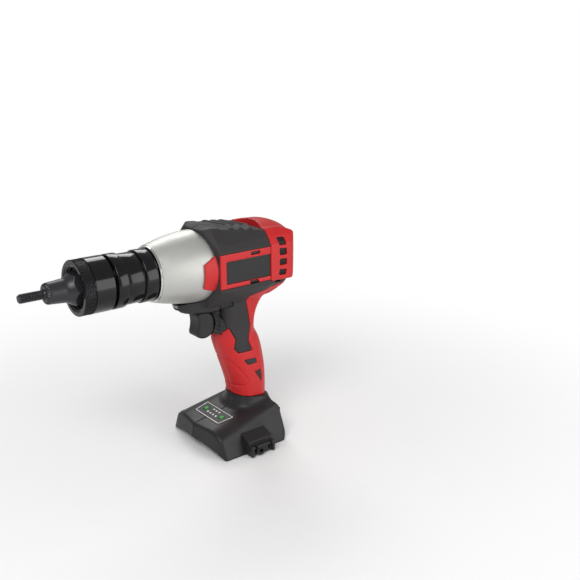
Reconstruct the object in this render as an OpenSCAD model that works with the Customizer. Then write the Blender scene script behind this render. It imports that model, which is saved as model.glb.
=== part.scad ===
// Hand-held battery tool that sets rivet nuts: a motor drives a planetary stage and a ball nut, and the
// ball nut draws a screw and a threaded mandrel back through an anvil.
// X points along the pulling axis to the nose, Z points up, and Y points to the operator's left.
// The origin is the centre of the battery foot on the plane that it stands on.

/* [Overall] */
// Height of the pulling axis above the standing plane
axis_h = 182; // [178:1:188]
// Wall of the moulded shells
wall = 3; // [2.5:0.1:3.4]
// Thickness of the rubber overmould
skin_t = 1.6; // [1:0.1:2]
// Gap between a moving piece and its guide
slide_gap = 0.3; // [0.2:0.05:0.4]
// Radial clearance of a running fit
run_gap = 0.06; // [0.03:0.01:0.1]

/* [Nose] */
// Radius of the mandrel over its thread
mandrel_r = 4; // [3:0.5:5]
// Length of mandrel ahead of the anvil
mandrel_free = 21.3; // [18:0.1:26]
// Radius of the anvil at its face
anvil_front_r = 8.9; // [8:0.1:9.6]
// Radius of the anvil at the end of its taper
anvil_rear_r = 10.2; // [9.8:0.1:11]
// Length of the anvil's taper
anvil_taper = 15.5; // [12:0.5:18]
// Distance from the collar's front to the anvil's face
anvil_out = 25.3; // [23:0.1:30]
// Hexagon of the anvil across its flats
anvil_hex = 26; // [24:0.5:28]
// Thickness of the anvil's hexagon
hex_t = 7.5; // [6:0.5:8]
// Radius of the stroke collar
collar_r = 24.2; // [24:0.1:26]
// Length of the stroke collar
collar_len = 27.6; // [27:0.1:30]
// Radius of the recess in the collar's front
recess_r = 18; // [17:0.5:19]
// Depth of the recess in the collar's front
recess_depth = 5.7; // [4:0.1:7]
// Radius of the barrel's front ring
ring2_r = 24.2; // [23.6:0.1:25]
// Length of the barrel's front ring
ring2_len = 9.9; // [8:0.1:12]
// Radius of the barrel's middle ring
ring3_r = 22.6; // [22:0.1:23.4]
// Length of the barrel's middle ring
ring3_len = 15; // [12:0.5:18]
// Radius of the barrel's rear ring
ring4_r = 23.7; // [23:0.1:24.5]
// Length of the barrel's rear ring
ring4_len = 12.4; // [10:0.1:15]
// Width of the groove behind the collar
groove1_len = 2.7; // [2.2:0.1:3.5]
// Width of the groove between the rear rings
groove2_len = 1.5; // [1:0.1:2.5]
// Radius at the bottom of both grooves
groove_r = 21.4; // [21:0.1:21.9]
// Radius of the collar's thread on the barrel
thread_r = 20.2; // [19.6:0.1:20.6]

/* [Gear case] */
// Place along X where the gear case meets the housing
body_front = 34.5; // [34:0.5:36]
// Length of the gear case
case_len = 47.1; // [46:0.1:52]
// Radius of the gear case at its front rim
case_front_r = 25.5; // [25:0.1:27]
// Radius of the gear case at the housing
case_rear_r = 33.4; // [33:0.1:34]
// Step from the gear case in to the spigot that sits in the housing
spigot_step = 3.4; // [3:0.1:3.8]
// Length of the spigot that sits in the housing
spigot_len = 5; // [4:0.5:5.5]

/* [Gears] */
// Module of the gear teeth
gear_mod = 0.9; // [0.86:0.01:0.92]
// Teeth of the sun pinion
sun_teeth = 12; // [12:12:12]
// Teeth of each planet gear
planet_teeth = 18; // [18:18:18]
// Width of the planet gears
gear_w = 11; // [8:0.5:12]
// Play on each side of a tooth
tooth_play = 0.06; // [0.04:0.01:0.08]
// Radius of the planet pins
planet_pin_r = 2.5; // [2:0.1:3]

/* [Draw screw] */
// Radius of the draw screw
screw_r = 7; // [6.5:0.1:7.5]
// Stroke of the draw screw
stroke = 7; // [5:0.5:7.5]
// Radius of the ball nut
nut_r = 14; // [13:0.1:15]
// Length of the ball nut
nut_len = 23; // [21:0.5:23.5]
// Radius of the cup that holds the mandrel's head
cup_r = 12.5; // [12:0.1:13.5]
// Length of that cup
cup_len = 24; // [22:0.5:25]
// Radius of the mandrel's head
head_r = 7.5; // [7:0.1:8]
// Length of the mandrel's head
head_len = 10; // [8:0.5:11]
// Radius of the balls of the thrust bearing
ball_r = 1.9; // [1.5:0.1:2]
// Number of balls of the thrust bearing
ball_count = 12; // [8:1:14]

/* [Motor] */
// Radius of the motor can
can_r = 28; // [27.5:0.1:29]
// Wall of the motor can
can_wall = 3.2; // [2.8:0.1:3.4]
// Length of the motor can
can_len = 64; // [62:1:65]
// Radius of the armature core
core_r = 20.5; // [19.5:0.1:20.8]
// Length of the armature core
core_len = 40; // [34:1:41]
// Radius of the motor shaft
shaft_r = 4; // [3.5:0.1:4.5]
// Radius of the motor bearings
bearing_r = 9; // [8.5:0.1:10]
// Width of the motor bearings
bearing_w = 6; // [5:0.5:7]
// Radius of the fan
fan_r = 26; // [22:0.5:28]
// Width of the fan
fan_w = 9; // [7:0.5:10]
// Number of fan blades
fan_blades = 9; // [6:1:12]

/* [Housing] */
// Half width of the motor housing
body_half_w = 37.5; // [37:0.1:39]
// Half height of the motor housing
body_half_h = 37; // [36.5:0.1:38.5]
// Bevel along the corners of the motor housing
body_bevel = 17; // [15:0.5:18]
// Length of the motor housing
body_len = 61.5; // [61:0.5:64]
// Length of the rear cover
cover_len = 33; // [31:0.5:36]
// Radius of the space for the motor
motor_space_r = 33.5; // [33:0.1:34]
// Reach of the lamp beak ahead of the housing
beak_len = 23; // [20:0.5:24]
// Half width of the lamp beak at its tip
beak_half_w = 8; // [7:0.5:10]
// Depth of the beak's underside below the gear case
beak_depth = 11.4; // [11:0.1:12]
// Length of the bare label plates
label_len = 47; // [40:1:48]
// Height of the bare label plates
label_h = 21; // [16:1:22]
// Radius of the housing screws
bolt_r = 1.5; // [1.3:0.1:1.6]
// Radius of a screw head
bolt_head_r = 2.8; // [2.6:0.1:3]

/* [Handle] */
// Height where the handle leaves the foot's neck
grip_base = 43; // [42:0.5:46]
// Distance from the beak's underside down to the handle's top
grip_drop = 30.2; // [29.5:0.1:31]
// Depth of the handle at its base
depth_base = 38; // [37:0.5:41]
// Depth of the handle at its top
depth_top = 46; // [45:0.5:48]
// Swell of the palm behind the middle of the handle
palm_swell = 4; // [2:0.5:5]
// Forward lean of the handle in degrees
lean = 13; // [12:0.5:14]
// Centre of the handle's base along X
base_x = -21.5; // [-23:0.5:-20]
// Half width of the handle
grip_half_w = 19; // [18.5:0.1:20]

/* [Trigger] */
// Travel of the trigger
trigger_travel = 6; // [4:0.5:7]
// Half width of the trigger
trigger_half_w = 9; // [8:0.1:9.5]
// Height of the trigger
trigger_h = 24.5; // [23:0.5:25]
// Length of the trigger in front of the bellows
trigger_len = 18; // [16:0.5:20]
// Length of the bellows
bellows_len = 8.8; // [8.5:0.1:10]
// Number of ribs of the bellows
bellows_ribs = 4; // [3:1:5]
// Travel of the direction selector
selector_travel = 5; // [4:0.5:6]
// Length of the direction selector's pad
selector_len = 15; // [12:0.5:16]
// Height of the direction selector's pad
selector_h = 4.6; // [4:0.1:5]

/* [Foot] */
// Width of the foot
foot_w = 93.6; // [90:0.2:98]
// Place of the foot's front corners along X
foot_front = 36.5; // [35:0.5:38]
// Reach of the foot's prow ahead of its front corners
foot_prow = 6; // [4:0.5:7]
// Length of the foot
foot_len = 76; // [74:0.5:78]
// Height of the foot at its front
foot_front_h = 25; // [24:0.5:28]
// Rise of the foot's top towards the handle in degrees
foot_rise = 10; // [9:0.5:11]
// Depth of the battery bay, which is also the height of the front lip
bay_h = 5; // [4.6:0.1:6]
// Reach of the battery rails under the foot
rail_reach = 4.5; // [3.5:0.1:5.5]
// Thickness of the battery rails
rail_t = 1.8; // [1.4:0.1:2.2]
// Length of the control panel along the foot's slope
panel_len = 16.5; // [15:0.5:18]
// Width of the control panel
panel_w = 43; // [40:0.5:46]
// Thickness of the control panel
panel_t = 1.2; // [1:0.1:1.5]
// Radius of the two keys
key_r = 3; // [2.5:0.1:3.4]
// Travel of the two keys
key_travel = 0.5; // [0.3:0.1:0.6]
// Length of the belt-hook block
hook_len = 27.6; // [24:0.2:30]
// Reach of the belt-hook block from the foot's side
hook_out = 10.7; // [9.5:0.1:12]
// Height of the belt-hook block's outer plate
hook_h = 11.4; // [11:0.1:12]
// Radius of the belt hook's threaded hole
hook_hole_r = 2; // [1.5:0.1:2.2]

/* [Hidden] */

// Clearance of a screw, insert or ring in its seat
hole_gap = 0.05;
// A cut passes this far through the surface that it opens
eps = 1;
// Colours
red = [0.76, 0.13, 0.13];
rubber = [0.16, 0.16, 0.16];
plastic = [0.2, 0.2, 0.21];
gloss = [0.07, 0.07, 0.08];
steel = [0.62, 0.63, 0.65];
alloy = [0.74, 0.74, 0.72];
copper = [0.72, 0.45, 0.25];
brass = [0.78, 0.63, 0.3];
board = [0.1, 0.35, 0.2];

// Places along X, from the housing to the tip of the mandrel
case_front = body_front + case_len;
ring4_end = case_front + ring4_len;
ring3_start = ring4_end + groove2_len;
ring3_end = ring3_start + ring3_len;
ring2_end = ring3_end + ring2_len;
collar_start = ring2_end + groove1_len;
collar_end = collar_start + collar_len;
web_front = collar_end - recess_depth;
web_t = 6;
web_rear = web_front - web_t;
hex_front = web_front + hex_t;
anvil_face = collar_end + anvil_out;
taper_end = anvil_face - anvil_taper;
mandrel_tip = anvil_face + mandrel_free;
// Length of the collar's turned edges
edge = 1;
stem_r = 9;
stem_len = 12;
stem_space_r = stem_r - 2;
anvil_bore = mandrel_r + 0.35;

// The collar advances this far in a turn, and may go back one turn and forward two
collar_pitch = 1.5;
barrel_end = web_rear - collar_pitch - 1;
detent_t = 1.8;
detent_r = thread_r + slide_gap + detent_t;
detent_len = 5.4;
detent_start = collar_start + 2.7;

// Draw screw and mandrel's head
cap_t = 4;
cap_front = web_front - stem_len - collar_pitch - 1.5;
cup_front = cap_front - cap_t;
cup_rear = cup_front - cup_len;
head_front = cup_front;
barrel_bore = cup_r + slide_gap;
key_pin_r = 1.5;
key_x = cup_rear + 8;

cup_inner = head_r + slide_gap;
// The barrel guides the cup over this land at both ends of the stroke
land_start = cup_rear + 1;
land_end = cap_front - stroke - 1.5;
barrel_space_r = thread_r - 2.7;
screw_bore = screw_r - 3;
screw_room = 0.6;
guide_start = taper_end + 4;
relief_r = mandrel_r - 0.7;
relief_len = 1.5;
shank_r = mandrel_r - 0.05;

// Planetary stage
ring_teeth = sun_teeth + 2 * planet_teeth;
orbit_r = gear_mod * (sun_teeth + planet_teeth) / 2;
ring_pitch_r = gear_mod * ring_teeth / 2;
ring_outer_r = ring_pitch_r + 3.9;
spigot_r = case_rear_r - spigot_step;
plate_rear = body_front - spigot_len - 3.5;
plate_front = body_front - spigot_len;
gear_start = plate_front + 2;
gear_end = gear_start + gear_w;
carrier_start = gear_end + 0.5;
carrier_t = 4.5;
carrier_end = carrier_start + carrier_t;
carrier_r = orbit_r + planet_pin_r + 2.5;
pressure = 20;
addendum = 0.8;
dedendum = 1.1;

// Ball nut and its thrust bearing
nut_end = carrier_end + nut_len;
ball_gap = 0.1;
ball_x = nut_end + ball_gap + ball_r;
ball_orbit = nut_r - ball_r - 0.6;
washer_start = ball_x + ball_r + ball_gap;
washer_t = 2.4;
washer_end = washer_start + washer_t;
screw_rear = carrier_start + 1 + stroke;
bush_t = 3;
bush_len = 12;
bush_start = carrier_end + 5;
bush_r = nut_r + run_gap + bush_t;
case_wall = 4;
sleeve_r = bush_r + 2.6;
spigot_start = bush_start + bush_len + 2;
washer_r = nut_r + 2;
gearbox_bolt_r = 1.2;
gearbox_bolt_orbit = (ring_outer_r + spigot_r) / 2;
gearbox_bolt_len = 14;
gearbox_head_r = gearbox_bolt_r + 0.7;
gearbox_head_t = 1.8;

// Motor
can_front = plate_rear;
can_rear = can_front - can_len;
can_inner = can_r - can_wall;
core_front = can_front - bearing_w - 6;
core_rear = core_front - core_len;
commutator_front = core_rear - 1.5;
brush_half_w = 2.5;
commutator_r = 9;
commutator_len = 8;
holder_t = 5;
holder_rear = can_rear - holder_t;
fan_front = holder_rear - 1.5;
fan_rear = fan_front - fan_w;
shaft_rear = fan_rear - 1.5;
pinion_seat_r = 2.4;

// Housing
body_rear = body_front - body_len;
cover_rear = body_rear - cover_len;
// A bevel set in by one length shrinks by this share of it
bevel_share = 2 - sqrt(2);
panel_low = -16;
panel_high = 15;
band_len = 6;
tab_len = 9;
rib_t = 3;
rib_places = [body_rear + 3, can_front - 12];
label_t = 1;
label_front = body_front - band_len - 7;
label_mid_z = axis_h + (panel_low + panel_high) / 2 - 1.5;
corner_r = motor_space_r + 3.5;
cover_flange = 6;
vent_count = 4;
vent_pitch = 9.8;
vent_len = 8;
vent_h = 7;

// Handle
body_low = axis_h - body_half_h;
beak_z = axis_h - case_rear_r - beak_depth;
grip_top = beak_z - grip_drop;
front_base = base_x + depth_base / 2;
rear_base = base_x - depth_base / 2;
top_x = base_x + (grip_top - grip_base) * tan(lean);
front_top = top_x + depth_top / 2;
rear_top = top_x - depth_top / 2;
swell_z = grip_base + (grip_top - grip_base) / 2;
swell_x = (rear_base + rear_top) / 2 - palm_swell;
root_front = front_top - 4;
root_rear_x = rear_top + 1;
root_rear_z = grip_top + 18;
tail_rear = cover_rear + 3;
cover_low = axis_h + panel_low - 3;
root_z = body_low + 6;
lamp_len = 5.5;
lamp_half_w = 5.5;
lamp_h = 3.4;
lamp_z = body_low + 0.4;
grip_round = 14;
// The rounded plan of the grip passes its flat sides by this much
flat_over = 0.4;
inlay_z = swell_z + 5;
inlay_x = base_x + (inlay_z - grip_base) * tan(lean);
inlay_t = 1;
beak_tip = body_front + beak_len;
// The beak's underside climbs to its tip over this length
beak_rise = 17;
// The beak starts to narrow this far behind the housing's front
beak_root = 10;
beak_slope = (grip_half_w - beak_half_w) / (beak_len + beak_root);
screw_places = [[root_rear_x + 5, body_low - 8], [root_front + 15.5, body_low - 1.5],
  [front_top - 9, grip_top - 7],
  [rear_top + 8, grip_top - 12], [front_base - 4, grip_base + 14], [rear_base + 7, grip_base + 14]];
boss_r = 3.6;
head_depth = 7;

// Trigger
trigger_rear = root_front + bellows_len;
trigger_front = trigger_rear + trigger_len;
trigger_low = beak_z - slide_gap - trigger_h;
trigger_mid = trigger_low + trigger_h / 2;
plunger_r = 4;
switch_front = root_front - wall - 2;
switch_len = 25;
switch_half_w = 11;
switch_low = trigger_mid - 14;
switch_top = trigger_mid + 10.5;
plunger_end = switch_front - 6;
spring_len = trigger_travel + 3;
pocket_half_w = trigger_half_w + 1;
selector_x = root_front - 1;
selector_z = body_low - 1.3;

// Foot
foot_half_w = foot_w / 2;
foot_rear = foot_front - foot_len;
prow_tip = foot_front + foot_prow;
foot_side_h = 27;
foot_wall = 3.2;
foot_corner = 6;
foot_lean = 2;
foot_crown = 14;
neck_grow = 2.5;
rise = tan(foot_rise);
foot_inner = foot_half_w - foot_wall;
roof_t = 3;
panel_x = foot_front - 20;
board_t = 1.6;
key_space = panel_w / 2 - 8;
key_proud = key_travel + 0.2;
key_h = 2.7;
board_top = bay_h + roof_t + board_t;
blade_count = 4;
blade_pitch = 7;
blade_t = 0.8;
block_rear = foot_rear + foot_wall + 3;
block_front = block_rear + 15;
block_half_w = 16;
block_low = 1.2;
lead_r = 1.2;
lead_y = 5;
lead_drop = 0.8;
hook_mid_x = -2;
hook_base_z = 0.6;
hook_ledge_h = 17;
hook_ledge_out = 5.5;
hook_hole_x = hook_mid_x + 3;
hook_hole_z = 5.4;
insert_len = 8;
insert_r = hook_hole_r + 1.2;
foot_bolts = [[foot_rear + 8.5, 17], [foot_front - 8.5, 17]];
foot_head_y = foot_half_w - 9;

// A profile of [radius, place along X] points turned about the pulling axis
module turned(points) {
  translate([0, 0, axis_h]) rotate([0, 90, 0]) rotate_extrude($fn = 96) polygon(points);
}

module tube_x(x0, x1, r_in, r_out) {
  turned([[r_in, x0], [r_out, x0], [r_out, x1], [r_in, x1]]);
}

module rod_x(x0, x1, r) {
  translate([x0, 0, axis_h]) rotate([0, 90, 0]) cylinder(h = x1 - x0, r = r, $fn = 64);
}

// A flat shape in X and Z, drawn out along Y
module along_y(y0, y1) {
  translate([0, y1, 0]) rotate([90, 0, 0]) linear_extrude(y1 - y0) children();
}

// A flat shape in Y and Z about the pulling axis, drawn out along X
module along_x(x0, x1) {
  translate([x0, 0, axis_h]) rotate([90, 0, 90]) linear_extrude(x1 - x0) children();
}

module box(x0, x1, y0, y1, z0, z1) {
  translate([x0, y0, z0]) cube([x1 - x0, y1 - y0, z1 - z0]);
}

module bar_y(x, z, y0, y1, r) {
  translate([x, y0, z]) rotate([-90, 0, 0]) cylinder(h = y1 - y0, r = r, $fn = 32);
}

// Involute of the base circle, in degrees
function involute(a) = tan(a) * 180 / PI - a;

// Half the angle of a tooth at radius r; play is taken off each flank
function tooth_half(teeth, r, play) =
  let (pitch_r = gear_mod * teeth / 2, base_r = pitch_r * cos(pressure))
  90 / teeth - play / pitch_r * 180 / PI + involute(pressure) - involute(acos(base_r / max(r, base_r)));

// Outline of a gear from its root circle to its tip circle, with a tooth at angle 0
function gear_outline(teeth, root_r, tip_r, play) =
  let (steps = 4, radii = [for (i = [0 : steps]) root_r + (tip_r - root_r) * i / steps])
  [for (k = [0 : teeth - 1], side = [-1, 1], i = [0 : steps])
    let (r = side < 0 ? radii[i] : radii[steps - i], a = 360 * k / teeth + side * tooth_half(teeth, r, play))
    [r * cos(a), r * sin(a)]];

// Half of the motor housing's section, set in by inset
function body_section(inset) =
  let (w = body_half_w - inset, h = body_half_h - inset, c = body_bevel - bevel_share * inset)
  [[0, -h], [w - c, -h], [w, c - h], [w, h - c], [w - c, h], [0, h]];

// Side view of the handle and its root, set in by inset
function handle_outline(inset, drop) = [
  [front_base - inset, grip_base - drop], [front_top - inset, grip_top - 6], [front_top - inset, grip_top],
  [root_front - inset, grip_top + 4], [root_front - inset, root_z], [root_rear_x + inset - 14, root_z],
  [root_rear_x + inset - 7, root_rear_z + 15], [root_rear_x + inset, root_rear_z],
  [rear_top + inset, grip_top], [swell_x + inset, swell_z], [rear_base + inset, grip_base - drop]];

// Leaning prism with rounded corners that bounds the grip
module grip_prism(inset, z0, z1) {
  intersection() {
    translate([base_x, 0, grip_base]) rotate([0, lean, 0]) translate([0, 0, -40]) linear_extrude(160)
      rounded_plan(depth_top / 2 + palm_swell - inset, grip_half_w + flat_over - inset, grip_round - inset);
    box(-150, 150, 0, 100, z0, z1);
  }
}

module rounded_plan(half_l, half_w, r) {
  square([2 * (half_l - r), 2 * half_w], center = true);
  square([2 * half_l, 2 * (half_w - r)], center = true);
  for (sx = [-1, 1], sy = [-1, 1]) translate([sx * (half_l - r), sy * (half_w - r)]) circle(r, $fn = 48);
}

module handle_half(inset, drop = 0) {
  intersection() {
    along_y(0, grip_half_w - inset) polygon(handle_outline(inset, drop));
    union() {
      grip_prism(inset, grip_base - drop, grip_top + 1);
      box(-150, 150, 0, 100, grip_top, axis_h);
    }
  }
}

// Profile of the gear case's outside, moved out by grow
function case_outline(grow) = [
  [case_rear_r + grow, body_front], [case_rear_r + grow, body_front + case_len * 0.1],
  [case_rear_r - 1.2 + grow, body_front + case_len * 0.35],
  [case_rear_r - 2.6 + grow, body_front + case_len * 0.55],
  [case_front_r + 2 + grow, case_front - case_len * 0.15], [case_front_r + grow, case_front]];

// The beak under the gear case, as deep as the grip at its root and narrow at its tip
module beak_half(inset) {
  difference() {
    intersection() {
      along_y(0, body_half_w) polygon([
        [root_front - eps, beak_z + inset], [beak_tip - beak_rise, beak_z + 0.6 + inset],
        [beak_tip - inset, body_low + inset / 2], [beak_tip - inset, axis_h - 20],
        [root_front - eps, axis_h - 20]]);
      translate([0, 0, beak_z - eps]) linear_extrude(60) polygon([
        [root_front - eps, 0], [beak_tip + 2 * eps, 0],
        [beak_tip + 2 * eps, beak_half_w - 2 * eps * beak_slope - inset],
        [body_front - beak_root, grip_half_w - inset], [root_front - eps, grip_half_w - inset]]);
    }
    turned(concat([[0, body_front]], case_outline(slide_gap + inset), [[0, case_front]]));
  }
}

// The tray under the fan, which the rear cover closes from above
module tail_half(inset) {
  intersection() {
    along_x(tail_rear + inset, body_rear + eps) polygon(body_section(inset));
    along_y(0, body_half_w + 2 * eps) polygon([
      [body_rear + eps, cover_low], [tail_rear + inset, cover_low], [tail_rear + inset, cover_low - 8],
      [root_rear_x + inset - 16, root_z - 3], [root_rear_x + inset - 7, root_rear_z + 15],
      [body_rear + eps, root_rear_z]]);
  }
}

// Outside of one half of the housing, set in by inset
module housing_outside(inset) {
  along_x(body_rear, body_front) polygon(body_section(inset));
  handle_half(inset);
  beak_half(inset);
  tail_half(inset);
}

// Side view of the black rubber: above, before and below the label panel, and down the grip
module rubber_region() {
  polygon([
    [body_rear, axis_h + panel_high], [body_front - band_len, axis_h + panel_high],
    [body_front - band_len, axis_h + panel_low], [body_rear, axis_h + panel_low],
    [body_rear, axis_h + panel_low - 5], [rear_top + 20, axis_h - body_half_h], [rear_top + 14, grip_top + 8],
    [rear_top + 16, grip_top - 4], [rear_top + 12, grip_top - 16], [front_top - 18, grip_top - 16],
    [front_top - 14, grip_top - 11], [front_top - 16, grip_top], [front_top - 9, grip_top + 10],
    [root_front + eps, grip_top + 14], [root_front + eps, beak_z - eps], [beak_tip + eps, beak_z - eps],
    [beak_tip + eps, axis_h + panel_low], [body_front - 2, axis_h + panel_low],
    [body_front - 2, axis_h + panel_high], [body_front + eps, axis_h + panel_high],
    [body_front + eps, axis_h + body_half_h + eps], [body_rear, axis_h + body_half_h + eps]]);
}

module overmould_half() {
  intersection() {
    difference() {
      housing_outside(0);
      housing_outside(skin_t);
      housing_cuts();
    }
    along_y(0, body_half_w + eps) rubber_region();
  }
}

// Openings through the shell and through its rubber
module housing_cuts() {
  rod_x(tail_rear + wall, plate_front, motor_space_r);
  rod_x(plate_front - eps, body_front + eps, spigot_r + run_gap);
  box(switch_front - eps, trigger_front, -eps, pocket_half_w, trigger_low - 1, trigger_low + trigger_h + 0.15);
  selector_bar(-100, 100, slide_gap);
  lamp_space(0);
}

module selector_bar(y0, y1, grow) {
  box(selector_x - selector_len / 2 - grow, selector_x + selector_len / 2 + grow, y0, y1,
    selector_z - selector_h / 2 - grow, selector_z + selector_h / 2 + grow);
}

module lamp_space(inset) {
  box(beak_tip - lamp_len, beak_tip - inset + eps, inset - lamp_half_w, lamp_half_w - inset,
    lamp_z + inset, lamp_z + lamp_h - inset);
}

// One half of the housing, before its screw holes
module housing_half() {
  difference() {
    housing_outside(0);
    housing_cuts();
    intersection() {
      difference() {
        housing_outside(-eps);
        housing_outside(skin_t);
      }
      along_y(0, 100) rubber_region();
    }
    difference() {
      handle_half(wall, eps);
      for (p = screw_places) bar_y(p[0], p[1], -eps, grip_half_w, boss_r);
    }
    box(label_front - label_len, label_front, body_half_w - label_t, 100, label_mid_z - label_h / 2,
      label_mid_z + label_h / 2);
    inlay_shapes(eps);
    corner_hole(10);
  }
  difference() {
    union() for (x = rib_places) tube_x(x, x + rib_t, can_r + run_gap, motor_space_r + 0.5);
    box(-150, 150, -100, 0, 0, 300);
  }
  intersection() {
    tab_ring();
    box(-150, 150, 0, 100, axis_h + panel_low + 1, axis_h + panel_high);
  }
}

// The red tab that reaches over the gear case on each side
module tab_ring() {
  tube_x(body_front - 1.5, body_front + tab_len, case_rear_r + 0.1, case_rear_r + 1.8);
}

// Hole for a rear cover screw in the upper corner of the housing
module corner_hole(depth) {
  at_corner() rod_x(body_rear - eps, body_rear + depth, bolt_r + hole_gap);
}

module at_corner() {
  translate([0, corner_r * sqrt(0.5), corner_r * sqrt(0.5)]) children();
}

module housing_left() {
  color(red) difference() {
    housing_half();
    for (p = screw_places) bar_y(p[0], p[1], -eps, 9, bolt_r + hole_gap);
  }
}

module housing_right() {
  color(red) difference() {
    mirror([0, 1, 0]) housing_half();
    for (p = screw_places) {
      bar_y(p[0], p[1], -60, eps, bolt_r + hole_gap);
      bar_y(p[0], p[1], -60, -head_depth, bolt_head_r + hole_gap);
    }
  }
}

module overmould_left() {
  color(rubber) overmould_half();
}

module overmould_right() {
  color(rubber) difference() {
    mirror([0, 1, 0]) overmould_half();
    for (p = screw_places) bar_y(p[0], p[1], -60, -head_depth, bolt_head_r + hole_gap);
  }
}

// The rear cover's outside, set in by inset and open below
module cover_outside(inset) {
  over = inset > 0 ? eps : 0;
  intersection() {
    along_x(cover_rear + inset, body_rear + over) full_section(inset);
    along_y(-body_half_w, body_half_w) polygon([
      [body_rear + over, cover_low - over], [cover_rear + 3 + inset, cover_low - over],
      [cover_rear + inset, cover_low + 8], [cover_rear + inset, axis_h + 24 - inset],
      [cover_rear + 14 + inset, axis_h + body_half_h + eps], [body_rear + over, axis_h + body_half_h + eps]]);
  }
}

module full_section(inset) {
  polygon(body_section(inset));
  mirror([1, 0]) polygon(body_section(inset));
}

module rear_cover() {
  color(red) difference() {
    union() {
      difference() {
        cover_outside(0);
        cover_outside(wall);
      }
      intersection() {
        cover_outside(0);
        for (s = [0, 1]) mirror([0, s, 0]) at_corner()
          rod_x(body_rear - cover_flange, body_rear, bolt_head_r + 1.6);
      }
    }
    for (s = [0, 1]) mirror([0, s, 0]) at_corner() {
      rod_x(body_rear - cover_flange - eps, body_rear + eps, bolt_r + hole_gap);
      rod_x(cover_rear - eps, body_rear - cover_flange, bolt_head_r + hole_gap);
    }
    for (i = [0 : vent_count - 1]) translate([0, 0, axis_h + 19 - i * vent_pitch])
      box(body_rear - 9 - vent_len, body_rear - 9, -100, 100, -vent_h / 2, vent_h / 2);
  }
}

// Outside of the left half of the foot, set in by inset, from height z0 up
module foot_block(inset, z0) {
  rear_h = foot_front_h + (foot_len - foot_lean - 5) * rise;
  cut = bevel_share * inset;
  intersection() {
    along_y(0, foot_half_w) polygon([
      [foot_rear + inset, z0 + 4], [foot_rear + 4 + inset, z0], [prow_tip - inset, z0],
      [prow_tip - foot_lean - inset, foot_front_h - foot_prow * rise - inset],
      [foot_rear + 5 + inset, rear_h - inset], [foot_rear + inset, rear_h - 6 - inset]]);
    translate([-100, 0, 0]) rotate([90, 0, 90]) linear_extrude(200) polygon([
      [0, z0], [foot_half_w - inset, z0], [foot_half_w - 2.6 - inset, foot_side_h - inset],
      [foot_half_w - 10 - inset, foot_side_h + 6 - inset], [18, foot_side_h + foot_crown],
      [0, foot_side_h + foot_crown]]);
    translate([0, 0, z0]) linear_extrude(100) polygon([
      [foot_rear + inset, 0], [prow_tip - inset, 0],
      [foot_front - inset, foot_half_w - foot_corner + cut - inset],
      [foot_front - foot_corner + cut - inset, foot_half_w - inset],
      [foot_rear + 4 - cut + inset, foot_half_w - inset], [foot_rear + inset, foot_half_w - 4 + cut - inset]]);
  }
}

// The neck that carries the handle
module foot_neck(inset, z0, z1) {
  intersection() {
    translate([base_x, 0, grip_base]) rotate([0, lean, 0]) translate([0, 0, -40]) linear_extrude(80)
      rounded_plan(depth_base / 2 + neck_grow - inset, grip_half_w + neck_grow - inset, grip_round);
    box(foot_rear + (inset > 0 ? wall : 0), 100, 0, 100, z0, z1);
  }
}

module on_slope() {
  translate([panel_x, 0, foot_front_h + (foot_front - foot_lean - panel_x) * rise])
    rotate([0, foot_rise, 0]) children();
}

module foot_half() {
  difference() {
    union() {
      foot_block(0, 0);
      foot_neck(0, foot_front_h, grip_base);
    }
    difference() {
      union() {
        foot_block(foot_wall, bay_h + roof_t);
        foot_neck(neck_grow + wall, bay_h + roof_t + 4, grip_base + eps);
      }
      for (p = foot_bolts) bar_y(p[0], p[1], -eps, foot_half_w, boss_r);
    }
    box(foot_rear + foot_wall, prow_tip + eps, -eps, foot_inner - rail_reach, -eps, bay_h);
    box(foot_rear + foot_wall, prow_tip + eps, -eps, foot_inner, rail_t, bay_h);
    on_slope() {
      box(-panel_len / 2 - hole_gap, panel_len / 2 + hole_gap, -eps, panel_w / 2 + hole_gap, -panel_t, 20);
      translate([0, key_space, -10]) cylinder(h = 20, r = key_r + slide_gap, $fn = 32);
    }
  }
}

module foot_left() {
  color(plastic) difference() {
    foot_half();
    for (p = foot_bolts) bar_y(p[0], p[1], -eps, 9, bolt_r + hole_gap);
  }
}

module foot_right() {
  color(plastic) difference() {
    mirror([0, 1, 0]) foot_half();
    for (p = foot_bolts) {
      bar_y(p[0], p[1], -100, eps, bolt_r + hole_gap);
      bar_y(p[0], p[1], -100, -foot_head_y, bolt_head_r + hole_gap);
    }
  }
}

module label_plates() {
  color(gloss) for (s = [0, 1]) mirror([0, s, 0])
    box(label_front - label_len + hole_gap, label_front - hole_gap, body_half_w - label_t, body_half_w - 0.2,
      label_mid_z - label_h / 2 + hole_gap, label_mid_z + label_h / 2 - hole_gap);
}

// The two inlays on the left side of the lower handle
module inlay_shapes(over) {
  along_y(grip_half_w - inlay_t, grip_half_w + over) {
    polygon([[inlay_x + 4, inlay_z + 2.7], [inlay_x - 9, inlay_z + 2.4], [inlay_x - 10.5, inlay_z - 2.7],
      [inlay_x, inlay_z - 2.7]]);
    polygon([[inlay_x - 7.5, inlay_z - 11], [inlay_x - 15, inlay_z - 11.4], [inlay_x - 16, inlay_z - 24]]);
  }
}

module handle_inlays() {
  color(rubber) for (s = [0, 1]) mirror([0, s, 0]) inlay_shapes(0);
}

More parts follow.
